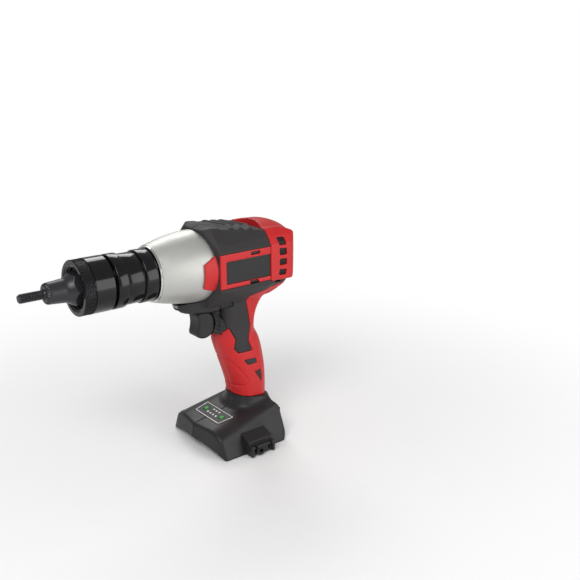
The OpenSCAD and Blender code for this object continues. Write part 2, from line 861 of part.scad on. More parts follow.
module gear_case() {
  color(alloy) difference() {
    turned(concat([[0, plate_front], [spigot_r, plate_front], [spigot_r, body_front]], case_outline(0),
      [[0, case_front]]));
    rod_x(plate_front - eps, gear_end + 1, ring_outer_r + hole_gap);
    turned([[0, gear_end], [ring_outer_r - 1.5, gear_end], [ring_outer_r - 1.5, gear_end + 2.5],
      [case_rear_r - case_wall, gear_end + 5], [case_rear_r - case_wall - 2, spigot_start - 9],
      [case_rear_r - case_wall - 5, spigot_start - 4], [sleeve_r, spigot_start - 4], [sleeve_r, bush_start - 2],
      [0, bush_start - 2]]);
    rod_x(bush_start - 3, spigot_start, bush_r + hole_gap);
    rod_x(spigot_start - eps, case_front + eps, thread_r + hole_gap);
    gearbox_bolts() rod_x(plate_front - eps, plate_front + gearbox_bolt_len, gearbox_bolt_r + hole_gap);
  }
}

module gearbox_bolts() {
  for (a = [45 : 90 : 315]) translate([0, gearbox_bolt_orbit * sin(a), gearbox_bolt_orbit * cos(a)]) children();
}

module nose_barrel() {
  color(gloss) difference() {
    turned([[washer_r + hole_gap, spigot_start], [thread_r, spigot_start], [thread_r, case_front],
      [ring4_r, case_front],
      [ring4_r, ring4_end], [groove_r, ring4_end], [groove_r, ring3_start], [ring3_r, ring3_start],
      [ring3_r, ring3_end], [ring2_r, ring3_end], [ring2_r, ring2_end], [thread_r, ring2_end],
      [thread_r, barrel_end], [barrel_space_r, barrel_end], [barrel_space_r, land_end], [barrel_bore, land_end],
      [barrel_bore, land_start], [barrel_space_r, land_start], [barrel_space_r, washer_end + 5],
      [screw_r + screw_room, washer_end + 5], [screw_r + screw_room, washer_end],
      [washer_r + hole_gap, washer_end]]);
    translate([key_x, 0, axis_h]) cylinder(h = 100, r = key_pin_r + hole_gap, $fn = 32);
  }
}

module motor_can() {
  hub_r = bearing_r + 2.5;
  front_wall = can_front - 3;
  color(steel) turned([[bearing_r, can_front], [can_r, can_front], [can_r, can_rear], [can_inner, can_rear],
    [can_inner, front_wall], [hub_r, front_wall], [hub_r, can_front - bearing_w],
    [bearing_r, can_front - bearing_w]]);
}

module field_magnets() {
  color(gloss) difference() {
    tube_x(core_rear - 1, core_front + 1, core_r + 0.7, can_inner - hole_gap);
    box(-150, 150, -7, 7, 0, 300);
  }
}

module brush_holder() {
  color(plastic) {
    tube_x(holder_rear, can_rear, bearing_r, can_r);
    tube_x(can_rear - eps, holder_rear + bearing_w, bearing_r, bearing_r + 2);
    for (s = [0, 1]) translate([0, 0, axis_h]) mirror([0, 0, s]) difference() {
      box(can_rear - eps, commutator_front, -brush_half_w - 2, brush_half_w + 2, commutator_r + 1.5,
        can_inner - 1);
      box(can_rear + 1, commutator_front - 1, -brush_half_w - hole_gap, brush_half_w + hole_gap, 0, 100);
    }
  }
}

module carbon_brushes() {
  color(gloss) for (s = [0, 1]) translate([0, 0, axis_h]) mirror([0, 0, s])
    box(can_rear + 1 + hole_gap, commutator_front - 1 - hole_gap, -brush_half_w, brush_half_w,
      commutator_r + 0.4, can_inner - 1.5);
}

module front_bearing() {
  color(steel) tube_x(can_front - bearing_w, can_front, shaft_r + run_gap, bearing_r - hole_gap);
}

module rear_bearing() {
  color(steel) tube_x(holder_rear, holder_rear + bearing_w, shaft_r + run_gap, bearing_r - hole_gap);
}

module gearbox_plate() {
  color(steel) difference() {
    tube_x(plate_rear, plate_front, bearing_r + 1, spigot_r - hole_gap);
    gearbox_bolts() {
      rod_x(plate_rear - eps, plate_front + eps, gearbox_bolt_r + hole_gap);
      rod_x(plate_rear - eps, plate_rear + gearbox_head_t, gearbox_head_r + hole_gap);
    }
  }
}

// A flat gear shape drawn out along X about the pulling axis
module gear_x(x0, x1) {
  translate([x0, 0, axis_h]) rotate([0, 90, 0]) linear_extrude(x1 - x0) children();
}

module ring_gear() {
  color(steel) gear_x(plate_front, gear_end + 1) difference() {
    circle(ring_outer_r, $fn = 96);
    rotate(180 / ring_teeth) polygon(gear_outline(ring_teeth, ring_pitch_r - addendum * gear_mod,
      ring_pitch_r + dedendum * gear_mod, -tooth_play));
  }
}

module planet_gear(k) {
  pitch_r = gear_mod * planet_teeth / 2;
  color(steel) gear_x(gear_start, gear_end) rotate(120 * k) translate([orbit_r, 0]) difference() {
    rotate(180 / planet_teeth) polygon(gear_outline(planet_teeth, pitch_r - dedendum * gear_mod,
      pitch_r + addendum * gear_mod, tooth_play));
    circle(planet_pin_r + run_gap, $fn = 48);
  }
}

module planet_gear_1() {
  planet_gear(0);
}

module planet_gear_2() {
  planet_gear(1);
}

module planet_gear_3() {
  planet_gear(2);
}

module sun_pinion() {
  pitch_r = gear_mod * sun_teeth / 2;
  color(steel) gear_x(gear_start - 0.5, gear_end) difference() {
    polygon(gear_outline(sun_teeth, pitch_r - dedendum * gear_mod, pitch_r + addendum * gear_mod, tooth_play));
    circle(pinion_seat_r, $fn = 48);
  }
}

module planet_carrier() {
  color(steel) gear_x(carrier_start, carrier_end) difference() {
    circle(carrier_r, $fn = 96);
    circle(screw_r + 0.4, $fn = 64);
    for (k = [0 : 2]) rotate(120 * k) translate([orbit_r, 0]) circle(planet_pin_r + hole_gap, $fn = 48);
  }
}

module planet_pins() {
  color(steel) gear_x(gear_start - 0.8, carrier_end) for (k = [0 : 2])
    rotate(120 * k) translate([orbit_r, 0]) circle(planet_pin_r, $fn = 48);
}

module ball_nut() {
  color(steel) tube_x(carrier_end, nut_end, screw_r + run_gap, nut_r);
}

module spindle_bush() {
  color(brass) tube_x(bush_start, bush_start + bush_len, nut_r + run_gap, bush_r);
}

module thrust_balls() {
  color(steel) for (k = [0 : ball_count - 1])
    translate([ball_x, ball_orbit * sin(360 * k / ball_count), axis_h + ball_orbit * cos(360 * k / ball_count)])
      sphere(ball_r, $fn = 24);
}

module thrust_washer() {
  color(steel) tube_x(washer_start, washer_end, screw_r + screw_room, washer_r);
}

module draw_screw() {
  floor_x = cup_front - head_len - slide_gap;
  color(steel) difference() {
    turned([[screw_bore, screw_rear], [screw_r, screw_rear], [screw_r, cup_rear], [cup_r, cup_rear],
      [cup_r, cup_front], [cup_inner, cup_front], [cup_inner, floor_x], [0, floor_x], [0, cup_rear + 4],
      [screw_bore, cup_rear + 4]]);
    box(key_x - key_pin_r - slide_gap, key_x + key_pin_r + slide_gap + stroke, -key_pin_r - slide_gap,
      key_pin_r + slide_gap, axis_h + cup_r - 3, axis_h + cup_r + eps);
  }
}

module draw_cap() {
  color(steel) tube_x(cup_front, cap_front, mandrel_r + 0.5, cup_r);
}

module key_pin() {
  color(steel) translate([key_x, 0, axis_h + cup_r - 3 + slide_gap])
    cylinder(h = groove_r - cup_r + 2, r = key_pin_r, $fn = 32);
}

module mandrel() {
  head_end = head_front - 0.1;
  color(gloss) turned([[0, head_end - head_len], [head_r, head_end - head_len], [head_r, head_end],
    [shank_r, head_end], [shank_r, anvil_face], [relief_r, anvil_face], [relief_r, anvil_face + relief_len],
    [mandrel_r, anvil_face + relief_len], [mandrel_r, mandrel_tip - edge], [mandrel_r - edge, mandrel_tip],
    [0, mandrel_tip]]);
}

module detent_ring() {
  color(steel) tube_x(detent_start, detent_start + detent_len, thread_r + run_gap, detent_r);
}

module stroke_collar() {
  bore_r = thread_r + slide_gap;
  pocket_r = detent_r + run_gap;
  color(gloss) turned([[bore_r, collar_start], [collar_r - edge / 2, collar_start],
    [collar_r, collar_start + edge / 2],
    [collar_r, collar_end - edge], [collar_r - edge, collar_end], [recess_r, collar_end], [recess_r, web_front],
    [stem_r + hole_gap, web_front], [stem_r + hole_gap, web_rear], [bore_r, web_rear],
    [bore_r, detent_start + detent_len + hole_gap], [pocket_r, detent_start + detent_len + hole_gap],
    [pocket_r, detent_start - hole_gap], [bore_r, detent_start - hole_gap]]);
}

module anvil() {
  flare_r = anvil_hex / 2 - 0.6;
  color(gloss) {
    turned([[stem_space_r, web_front - stem_len], [stem_r, web_front - stem_len], [stem_r, hex_front - eps],
      [flare_r, hex_front - eps], [flare_r, hex_front], [anvil_rear_r + 1, taper_end - 3],
      [anvil_rear_r, taper_end],
      [anvil_front_r, anvil_face - edge], [anvil_front_r - edge, anvil_face], [anvil_bore, anvil_face],
      [anvil_bore, guide_start], [stem_space_r, guide_start]]);
    gear_x(web_front, hex_front) difference() {
      circle(anvil_hex / 2 / cos(30), $fn = 6);
      circle(stem_r - eps, $fn = 64);
    }
  }
}

module switch_body() {
  color(gloss) difference() {
    box(switch_front - switch_len, switch_front, -switch_half_w, switch_half_w, switch_low, switch_top);
    plunger_rod(plunger_end - spring_len, switch_front + eps, plunger_r + slide_gap);
  }
}

module plunger_rod(x0, x1, r) {
  translate([x0, 0, trigger_mid]) rotate([0, 90, 0]) cylinder(h = x1 - x0, r = r, $fn = 48);
}

module trigger() {
  hollow_r = 26;
  color(plastic) {
    difference() {
      along_y(-trigger_half_w, trigger_half_w) polygon([
        [trigger_rear, trigger_low + 1.5], [trigger_front - 7, trigger_low], [trigger_front, trigger_low + 5],
        [trigger_front, trigger_low + trigger_h], [trigger_rear, trigger_low + trigger_h]]);
      bar_y(trigger_front + hollow_r - 3.5, trigger_mid + 2, -100, 100, hollow_r);
    }
    plunger_rod(plunger_end, trigger_rear + eps, plunger_r);
  }
}

// Rubber bellows round the plunger: a sleeve with ribs
module trigger_bellows() {
  pitch = (trigger_rear - switch_front) / (bellows_ribs + 0.5);
  color(rubber) difference() {
    union() {
      bellows_frame(switch_front, trigger_rear, 1.5);
      for (i = [0 : bellows_ribs])
        bellows_frame(switch_front + i * pitch, switch_front + (i + 0.5) * pitch, 0.3);
    }
    bellows_frame(switch_front - eps, trigger_rear + eps, 3.4);
  }
}

module bellows_frame(x0, x1, inset) {
  box(x0, x1, inset - pocket_half_w, pocket_half_w - inset, trigger_low + inset,
    trigger_low + trigger_h - inset);
}

module trigger_spring() {
  color(steel) translate([plunger_end - spring_len, 0, trigger_mid]) rotate([0, 90, 0]) difference() {
    cylinder(h = spring_len, r = plunger_r - 0.4, $fn = 48);
    translate([0, 0, -eps]) cylinder(h = spring_len + 2 * eps, r = plunger_r - 1.8, $fn = 48);
  }
}

module direction_selector() {
  color(plastic) selector_bar(-grip_half_w - selector_travel, grip_half_w + 0.2, 0);
}

module lamp_lens() {
  color("white") intersection() {
    lamp_space(hole_gap);
    box(beak_tip - lamp_len + board_t, beak_tip, -50, 50, 0, 300);
  }
}

module lamp_board() {
  color(board) intersection() {
    lamp_space(hole_gap);
    box(beak_tip - lamp_len, beak_tip - lamp_len + board_t, -50, 50, 0, 300);
  }
}

module control_panel() {
  color(gloss) on_slope() difference() {
    box(-panel_len / 2, panel_len / 2, -panel_w / 2, panel_w / 2, -panel_t, 0.1);
    for (s = [-1, 1]) translate([0, s * key_space, -10]) cylinder(h = 20, r = key_r + slide_gap, $fn = 32);
  }
}

// A key that stands proud of the panel, with a stem down to the board
module panel_key(s) {
  stem = foot_front_h - board_top - 2 * key_travel;
  color([0.2, 0.5, 0.2]) on_slope() translate([0, s * key_space, 0]) {
    translate([0, 0, key_proud - key_h]) cylinder(h = key_h, r = key_r, $fn = 32);
    translate([0, 0, -stem]) cylinder(h = stem, r = key_r / 2, $fn = 32);
  }
}

module light_key() {
  panel_key(-1);
}

module mode_key() {
  panel_key(1);
}

module control_board() {
  color(board) box(panel_x - 20, panel_x + 12, -panel_w / 2, panel_w / 2, bay_h + roof_t, board_top);
}

module terminal_block() {
  color(plastic) difference() {
    box(block_rear, block_front, -block_half_w, block_half_w, block_low, bay_h);
    for (i = [0 : blade_count - 1]) translate([0, blade_pitch * (i - (blade_count - 1) / 2), 0])
      box(block_rear + 2, block_front + eps, -blade_t / 2 - slide_gap, blade_t / 2 + slide_gap,
        block_low - eps, bay_h + eps);
  }
}

module terminal_blades() {
  color(brass) for (i = [0 : blade_count - 1]) translate([0, blade_pitch * (i - (blade_count - 1) / 2), 0])
    box(block_rear + 2, block_front - 1.5, -blade_t / 2, blade_t / 2, block_low + 0.3, bay_h);
}

// A wire with round joints along a list of points
module wire(points, r) {
  for (i = [0 : len(points) - 2]) {
    d = points[i + 1] - points[i];
    translate(points[i]) rotate([0, acos(d[2] / norm(d)), atan2(d[1], d[0])])
      cylinder(h = norm(d), r = r, $fn = 16);
  }
  for (i = [1 : len(points) - 2]) translate(points[i]) sphere(1.25 * r, $fn = 16);
}

module battery_leads() {
  for (s = [-1, 1]) color(s < 0 ? red : gloss) wire([
    [block_front - 4, s * lead_y, bay_h + roof_t], [base_x, s * lead_y, grip_base - 3],
    [switch_front - 13, s * lead_y, switch_low]], lead_r);
}

module motor_leads() {
  for (s = [-1, 1]) color(s < 0 ? red : gloss) wire([
    [switch_front - 22, s * lead_y, switch_top], [switch_front - 22, s * lead_y, body_low - 2],
    [can_rear + 9, s * lead_y, body_low], [can_rear + 8, s * lead_y, body_low + 5],
    [can_rear - holder_t / 2, s * lead_y, axis_h - can_r - lead_drop]], lead_r);
}

module hook_block() {
  out = foot_half_w + hook_out;
  color(gloss) difference() {
    union() {
      box(hook_mid_x - hook_len / 2, hook_mid_x + hook_len / 2, foot_half_w - 4, foot_half_w + hook_ledge_out,
        hook_base_z, hook_ledge_h);
      box(hook_mid_x - hook_len / 2, hook_mid_x + hook_len / 2, foot_half_w, out, hook_base_z, hook_h);
    }
    foot_block(0, 0);
    difference() {
      box(hook_mid_x - hook_len / 2 + 3, hook_mid_x + hook_len / 2 - 3, out - 3, out + eps, -eps, hook_h - 2);
      bar_y(hook_hole_x, hook_hole_z, 0, 100, insert_r + 1.4);
    }
    bar_y(hook_hole_x, hook_hole_z, out - insert_len, out + eps, insert_r + hole_gap);
  }
}

module hook_insert() {
  out = foot_half_w + hook_out;
  color(brass) difference() {
    bar_y(hook_hole_x, hook_hole_z, out - insert_len, out, insert_r);
    bar_y(hook_hole_x, hook_hole_z, out - insert_len - eps, out + eps, hook_hole_r);
  }
}

// A screw along Y, with its head on the right
module screw_y(p, head_y, tip_y) {
  bar_y(p[0], p[1], head_y, tip_y, bolt_r);
  bar_y(p[0], p[1], head_y - 2.2, head_y, bolt_head_r);
}

module housing_screws() {
  color(steel) {
    for (p = screw_places) screw_y(p, -head_depth, 8.5);
    for (p = foot_bolts) screw_y(p, -foot_head_y, 8.5);
  }
}

module cover_screws() {
  color(steel) for (s = [0, 1]) mirror([0, s, 0]) at_corner() {
    rod_x(body_rear - cover_flange, body_rear + 9, bolt_r);
    rod_x(body_rear - cover_flange - 2.2, body_rear - cover_flange, bolt_head_r);
  }
}

module gearbox_screws() {
  color(steel) gearbox_bolts() {
    rod_x(plate_rear + gearbox_head_t, plate_front + gearbox_bolt_len - 1, gearbox_bolt_r);
    rod_x(plate_rear + 0.2, plate_rear + gearbox_head_t, gearbox_head_r);
  }
}

module armature_shaft() {
  color(steel) turned([[0, shaft_rear], [shaft_r, shaft_rear], [shaft_r, can_front + 1],
    [pinion_seat_r, can_front + 1],
    [pinion_seat_r, gear_end], [0, gear_end]]);
}

module armature_core() {
  color(copper) tube_x(core_rear, core_front, shaft_r, core_r);
}

module commutator() {
  color(copper) tube_x(commutator_front - commutator_len, commutator_front, shaft_r, commutator_r);
}

module cooling_fan() {
  color(gloss) {
    tube_x(fan_rear, fan_front, shaft_r, shaft_r + 4);
    tube_x(fan_front - 1.5, fan_front, shaft_r + 3, fan_r);
    for (k = [0 : fan_blades - 1]) translate([0, 0, axis_h]) rotate([360 * k / fan_blades, 0, 0])
      box(fan_rear, fan_front - eps, -0.8, 0.8, shaft_r + 3, fan_r - 1);
  }
}

housing_left();
housing_right();
overmould_left();
overmould_right();
rear_cover();
foot_left();
foot_right();
label_plates();
handle_inlays();
gear_case();
nose_barrel();
motor_can();
field_magnets();
brush_holder();
carbon_brushes();
front_bearing();
rear_bearing();
gearbox_plate();
ring_gear();
spindle_bush();
thrust_balls();
thrust_washer();
key_pin();
switch_body();
trigger_bellows();
trigger_spring();
lamp_lens();
lamp_board();
control_panel();
control_board();
terminal_block();
terminal_blades();
motor_leads();
battery_leads();
hook_block();
hook_insert();
housing_screws();
cover_screws();
gearbox_screws();
armature_shaft();
armature_core();
commutator();
cooling_fan();
sun_pinion();
planet_carrier();
planet_pins();
ball_nut();
planet_gear_1();
planet_gear_2();
planet_gear_3();
draw_screw();
draw_cap();
mandrel();
detent_ring();
stroke_collar();
anvil();
trigger();
direction_selector();
light_key();
mode_key();
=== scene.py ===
import math

import bpy
import numpy as np
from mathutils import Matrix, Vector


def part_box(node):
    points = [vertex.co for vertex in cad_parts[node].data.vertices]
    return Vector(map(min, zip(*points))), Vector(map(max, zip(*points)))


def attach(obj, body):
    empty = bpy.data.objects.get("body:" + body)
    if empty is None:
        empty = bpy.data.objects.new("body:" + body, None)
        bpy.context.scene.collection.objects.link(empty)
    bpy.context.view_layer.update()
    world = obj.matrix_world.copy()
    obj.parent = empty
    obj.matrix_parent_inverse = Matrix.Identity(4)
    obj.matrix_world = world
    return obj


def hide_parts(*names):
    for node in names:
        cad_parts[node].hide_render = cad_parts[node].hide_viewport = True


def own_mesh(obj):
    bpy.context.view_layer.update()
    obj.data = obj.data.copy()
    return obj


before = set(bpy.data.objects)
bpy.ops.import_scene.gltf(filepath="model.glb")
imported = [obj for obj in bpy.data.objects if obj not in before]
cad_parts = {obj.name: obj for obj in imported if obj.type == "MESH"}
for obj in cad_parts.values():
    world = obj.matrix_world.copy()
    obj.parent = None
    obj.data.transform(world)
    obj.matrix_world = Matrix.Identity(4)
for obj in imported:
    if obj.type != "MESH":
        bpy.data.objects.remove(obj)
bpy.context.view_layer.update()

# Motor, gears, draw screw and wiring inside the tool.
# Steel, copper, magnet and board pieces, turned or pressed, stacked along the nose axis and
# screwed to the gearbox plate. They stay as they are built and get their finishes here.
mm = 0.001
axis_z = 182.0


def paint(red, green, blue):
    """Screen colour of 0 to 255 as the linear colour that a shader takes."""
    share = np.array((red, green, blue)) / 255
    linear = np.where(share <= 0.04045, share / 12.92, ((share + 0.055) / 1.055) ** 2.4)
    return (*linear, 1.0)


def worked_finish(name, colour, rough, metal=0.0, drift=0.12, patch=45.0, grain=1800.0, depth=0.08,
                  gloss=0.3):
    """Surface whose colour and roughness drift in soft patches, with a fine grain raised on it."""
    finish = bpy.data.materials.new(name)
    finish.use_nodes = True
    nodes = finish.node_tree.nodes
    link = finish.node_tree.links.new
    shader = nodes["Principled BSDF"]
    shader.inputs["Metallic"].default_value = metal
    shader.inputs["Specular IOR Level"].default_value = gloss
    place = nodes.new("ShaderNodeTexCoord").outputs["Object"]
    patches = nodes.new("ShaderNodeTexNoise")
    patches.inputs["Scale"].default_value = patch
    patches.inputs["Detail"].default_value = 4.0
    link(place, patches.inputs["Vector"])
    # A Mix node's colours are its inputs 6 and 7, and the mixed colour is its output 2.
    tint = nodes.new("ShaderNodeMix")
    tint.data_type = "RGBA"
    tint.inputs[6].default_value = (*(c * (1 - drift) for c in colour[:3]), 1.0)
    tint.inputs[7].default_value = (*(min(1.0, c * (1 + drift)) for c in colour[:3]), 1.0)
    link(patches.outputs["Fac"], tint.inputs[0])
    link(tint.outputs[2], shader.inputs["Base Color"])
    shine = nodes.new("ShaderNodeMapRange")
    shine.inputs["From Min"].default_value = 0.3
    shine.inputs["From Max"].default_value = 0.7
    shine.inputs["To Min"].default_value = rough * 0.85
    shine.inputs["To Max"].default_value = min(1.0, rough * 1.15)
    link(patches.outputs["Fac"], shine.inputs["Value"])
    link(shine.outputs["Result"], shader.inputs["Roughness"])
    speckle = nodes.new("ShaderNodeTexNoise")
    speckle.inputs["Scale"].default_value = grain
    speckle.inputs["Detail"].default_value = 2.0
    link(place, speckle.inputs["Vector"])
    raised = nodes.new("ShaderNodeBump")
    raised.inputs["Strength"].default_value = depth
    raised.inputs["Distance"].default_value = 0.2 * mm
    link(speckle.outputs["Fac"], raised.inputs["Height"])
    link(raised.outputs["Normal"], shader.inputs["Normal"])
    return finish


def dress(nodes, finish):
    """Gives CAD nodes that stay in view their finish."""
    for node in nodes:
        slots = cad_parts[node].data.materials
        slots.clear()
        slots.append(finish)


steel = worked_finish("ground_steel", paint(168, 168, 165), 0.32, metal=1.0)
dress(["front_bearing", "rear_bearing", "ring_gear", "thrust_balls", "thrust_washer", "armature_shaft",
       "sun_pinion", "planet_carrier", "planet_pins", "ball_nut", "planet_gear_1", "planet_gear_2",
       "planet_gear_3", "draw_screw", "key_pin", "housing_screws", "cover_screws",
       "gearbox_screws"], steel)
dress(["motor_can", "armature_core", "draw_cap", "hook_insert"],
      worked_finish("blackened_steel", paint(52, 53, 56), 0.45, metal=0.9))
dress(["field_magnets"], worked_finish("ferrite", paint(58, 56, 55), 0.75))
dress(["carbon_brushes"], worked_finish("carbon", paint(38, 38, 40), 0.7))
dress(["commutator"], worked_finish("copper", paint(190, 112, 70), 0.35, metal=1.0))
dress(["spindle_bush", "terminal_blades"],
      worked_finish("brass", paint(196, 160, 92), 0.34, metal=1.0))
dress(["brush_holder", "cooling_fan", "gearbox_plate", "switch_body", "detent_ring", "terminal_block"],
      worked_finish("inner_nylon", paint(34, 34, 36), 0.55))
dress(["control_board"], worked_finish("circuit_board", paint(24, 78, 52), 0.5, drift=0.3))
dress(["lamp_board"], worked_finish("lamp_board_mask", paint(30, 30, 32), 0.5, drift=0.3))
dress(["motor_leads", "battery_leads"], worked_finish("lead_jacket", paint(120, 22, 24), 0.5))

# Red housing halves with their black rubber grip skins.
# Glass-filled nylon shells 2.5 mm thick, moulded left and right and screwed together from the
# right, with a soft rubber skin moulded over the top, the band by the gear case and the grip.
pitch = 0.8
wall = 2.5
body_half_w = 37.5
body_half_h = 36.4
body_bevel = 17.0
brow_x = 25.0
top_half = 35.9
top_slope = 0.123
body_rear = -27.4
body_front = 34.5
seam = 0.14
grip_half_w = 19.0
case_root_r = 33.4
case_rim_r = 25.5
case_straight = 39.2
case_end = 81.6
selector_hole = [(3.2, 141.1), (17.4, 141.1), (19.4, 146.3), (5.2, 146.3)]
rib_front = [(17.8, 141.2), (17.2, 141.6), (7.9, 122.6), (8.5, 122.2)]
rib_rear = [(14.9, 141.2), (14.3, 141.6), (6.3, 125.0), (6.9, 124.6)]
screw_spots = [(-23.7, 137), (27.8, 143.5), (7.3, 100), (-21.7, 95), (-6.5, 57), (-33.5, 57)]
inlay_outlines = [[(-9, 82.7), (-22, 82.4), (-23.5, 77.3), (-13, 77.3)],
                  [(-20.5, 69), (-28, 68.6), (-29, 56)]]
grip_outline = [(-5.0, 30), (-3.8, 46), (-1.8, 57), (2.2, 70), (8.2, 86), (13.2, 101), (13.6, 107),
                (12.4, 112), (12.3, 128), (12.3, 153), (-36, 158), (-48, 162), (-47.5, 157), (-42, 150),
                (-34, 143), (-26.6, 133), (-23.6, 121), (-26.6, 112.5), (-32.4, 105), (-35.6, 96), (-38, 84),
                (-39.6, 72), (-40.4, 56), (-40.2, 40), (-40.4, 30)]
beak_side = [(8, 138.6), (43, 138.6), (52, 140.6), (56.4, 144.6), (56.6, 150), (56.6, 166), (8, 166)]
beak_plan = [(5, -1), (5, 19), (24.5, 19), (56.6, 8), (56.6, -1)]
rubber_outline = [(-62, 197.6), (28.7, 197.6), (28.7, 165.4), (-62, 165.4), (-62, 165.0), (-13, 150.1),
                  (-11, 148.6), (-10.5, 146), (-16.3, 115.5), (-14, 102.7), (-18.6, 91.2), (-3, 91.4),
                  (1.6, 96.5), (0.4, 106.6), (7.8, 119.4), (12.7, 114.2), (18, 110.6), (26, 108.6),
                  (26, 136), (60, 136), (60, 166), (34, 166), (34, 197.6), (36, 197.6), (36, 224),
                  (-62, 224)]
pad_outline = [(30, 91), (14, 89), (6.8, 87.2), (-13.4, 62), (-11.6, 56.2), (-8.6, 55), (30, 55)]
pocket_scoop = [(17.6, 137.0), (9.0, 122.8), (11.5, 116.4), (17.5, 112.4), (32, 110.6), (40, 118),
                (40, 137.0)]
tail_outline = [(-20, 166), (-50, 166), (-49, 160), (-44, 151), (-36, 143.5), (-25, 131), (-20, 131)]
tab_outline = [(28.8, 163), (43.6, 168), (43.2, 190.6), (31, 196.6), (28.8, 196.6)]
shoulder_panel = [(19, 205.6), (18.6, 215.2), (-2, 213.4), (6.5, 205.6)]
ridge_count = 3
ridge_pitch = 10.3
ridge_half = 3.4
ridge_high = 1.5
brow_high = 0.9
taper_start = 28.2
lip_bow = 0.0042
case_curve = 1.6
case_gap = 0.35
beak_solid_x = 40
window_front = 22.0
window_half_h = 10.7
lens_z = 146.7
groove_depth = 0.55
screw_bore_r = 3.0
screw_boss_r = 4.6
base_cut = 45.4
base_slope = 0.156
cover_dip = 4.5
outside = 9.0


def round_max(a, b, radius):
    """Both solids at once, with the edge between them rounded to that radius."""
    corner = np.hypot(np.maximum(a + radius, 0), np.maximum(b + radius, 0))
    return np.minimum(np.maximum(a, b), -radius) + corner


def round_min(a, b, radius):
    """Either solid, with a fillet of that radius in the corner between them."""
    return -round_max(-a, -b, radius)


def eased(outline, passes=3):
    """Closed outline with its corners cut to quarter and three-quarter points, pass after pass."""
    line = np.array(outline, float)
    for _ in range(passes):
        ahead = np.roll(line, -1, axis=0)
        line = np.stack([0.75 * line + 0.25 * ahead, 0.25 * line + 0.75 * ahead], axis=1).reshape(-1, 2)
    return line


def flat_field(outline, across, up):
    """Distance in the plane from a closed outline, negative inside it, on a grid of the two rulers."""
    line = np.array(outline, float)
    u, v = across[:, None], up[None, :]
    nearest = np.full((len(across), len(up)), np.inf)
    inside = np.zeros(nearest.shape, bool)
    for (ax, ay), (bx, by) in zip(line, np.roll(line, -1, axis=0)):
        run, climb = bx - ax, by - ay
        along = np.clip(((u - ax) * run + (v - ay) * climb) / (run * run + climb * climb), 0, 1)
        nearest = np.minimum(nearest, np.hypot(u - ax - along * run, v - ay - along * climb))
        if climb != 0:
            inside ^= ((ay > v) != (by > v)) & (u < run * (v - ay) / climb + ax)
    return np.where(inside, -nearest, nearest)


def side_field(outline, flat_x, flat_z):
    """Distance from an outline drawn on the side of the tool, the same at every place across it."""
    return flat_field(outline, flat_x, flat_z)[:, None, :]


def grid(low, high, step):
    """Rulers over a box in millimetres, with a step and a half to spare outside it: first as they are,
    then turned to lie along the three sides of a solid array."""
    flat = [np.arange(a - 1.5 * step, b + 2.5 * step, step) for a, b in zip(low, high)]
    return flat, (flat[0][:, None, None], flat[1][None, :, None], flat[2][None, None, :])


def skin(field, ruler):
    """Surface where a sampled solid's field is zero: one point in each cell that the surface
    crosses, settled on the level, and one four-sided face round each crossed grid edge."""
    inside = field < 0
    size = np.array(field.shape) - 1
    corners = np.array([(i, j, k) for i in (0, 1) for j in (0, 1) for k in (0, 1)])
    count = sum(inside[i:i + size[0], j:j + size[1], k:k + size[2]].astype(np.int8) for i, j, k in corners)
    cells = np.argwhere((count > 0) & (count < 8))
    number = np.full(tuple(size), -1, np.int64)
    number[tuple(cells.T)] = np.arange(len(cells))
    value = np.stack([field[tuple((cells + c).T)] for c in corners], axis=1).astype(float)
    total = np.zeros((len(cells), 3))
    hits = np.zeros(len(cells))
    for a in range(8):
        for b in range(a + 1, 8):
            if np.abs(corners[a] - corners[b]).sum() == 1:
                crossed = (value[:, a] < 0) != (value[:, b] < 0)
                share = np.where(crossed, value[:, a] / np.where(crossed, value[:, a] - value[:, b], 1), 0)
                spot = corners[a] + share[:, None] * (corners[b] - corners[a])
                total += np.where(crossed[:, None], spot, 0)
                hits += crossed
    spot = total / hits[:, None]
    for _ in range(3):
        part = np.where(corners[None] == 1, spot[:, None, :], 1 - spot[:, None, :])
        level = (part.prod(2) * value).sum(1)
        sign = np.where(corners == 1, 1.0, -1.0)
        slope = np.stack([(sign[:, k] * part[:, :, (k + 1) % 3] * part[:, :, (k + 2) % 3] * value).sum(1)
                          for k in range(3)], axis=1)
        spot = np.clip(spot - (level / ((slope ** 2).sum(1) + 1e-9))[:, None] * slope, 0.01, 0.99)
    start = np.array([r[0] for r in ruler])
    step = ruler[0][1] - ruler[0][0]
    points = start + (cells + spot) * step
    faces = []
    for k in range(3):
        b, c = (k + 1) % 3, (k + 2) % 3
        first = np.moveaxis(inside, k, 0)[:-1]
        change = np.moveaxis(first != np.moveaxis(inside, k, 0)[1:], 0, k)
        edge = np.argwhere(change)
        edge = edge[(edge[:, b] > 0) & (edge[:, c] > 0) & (edge[:, b] < size[b]) & (edge[:, c] < size[c])]
        eb, ec = np.eye(3, dtype=int)[b], np.eye(3, dtype=int)[c]
        quad = np.stack([number[tuple((edge - s).T)] for s in (0 * eb, eb, eb + ec, ec)], axis=1)
        outward = inside[tuple(edge.T)]
        faces.append(np.where(outward[:, None], quad, quad[:, ::-1]))
    return points, np.concatenate(faces)


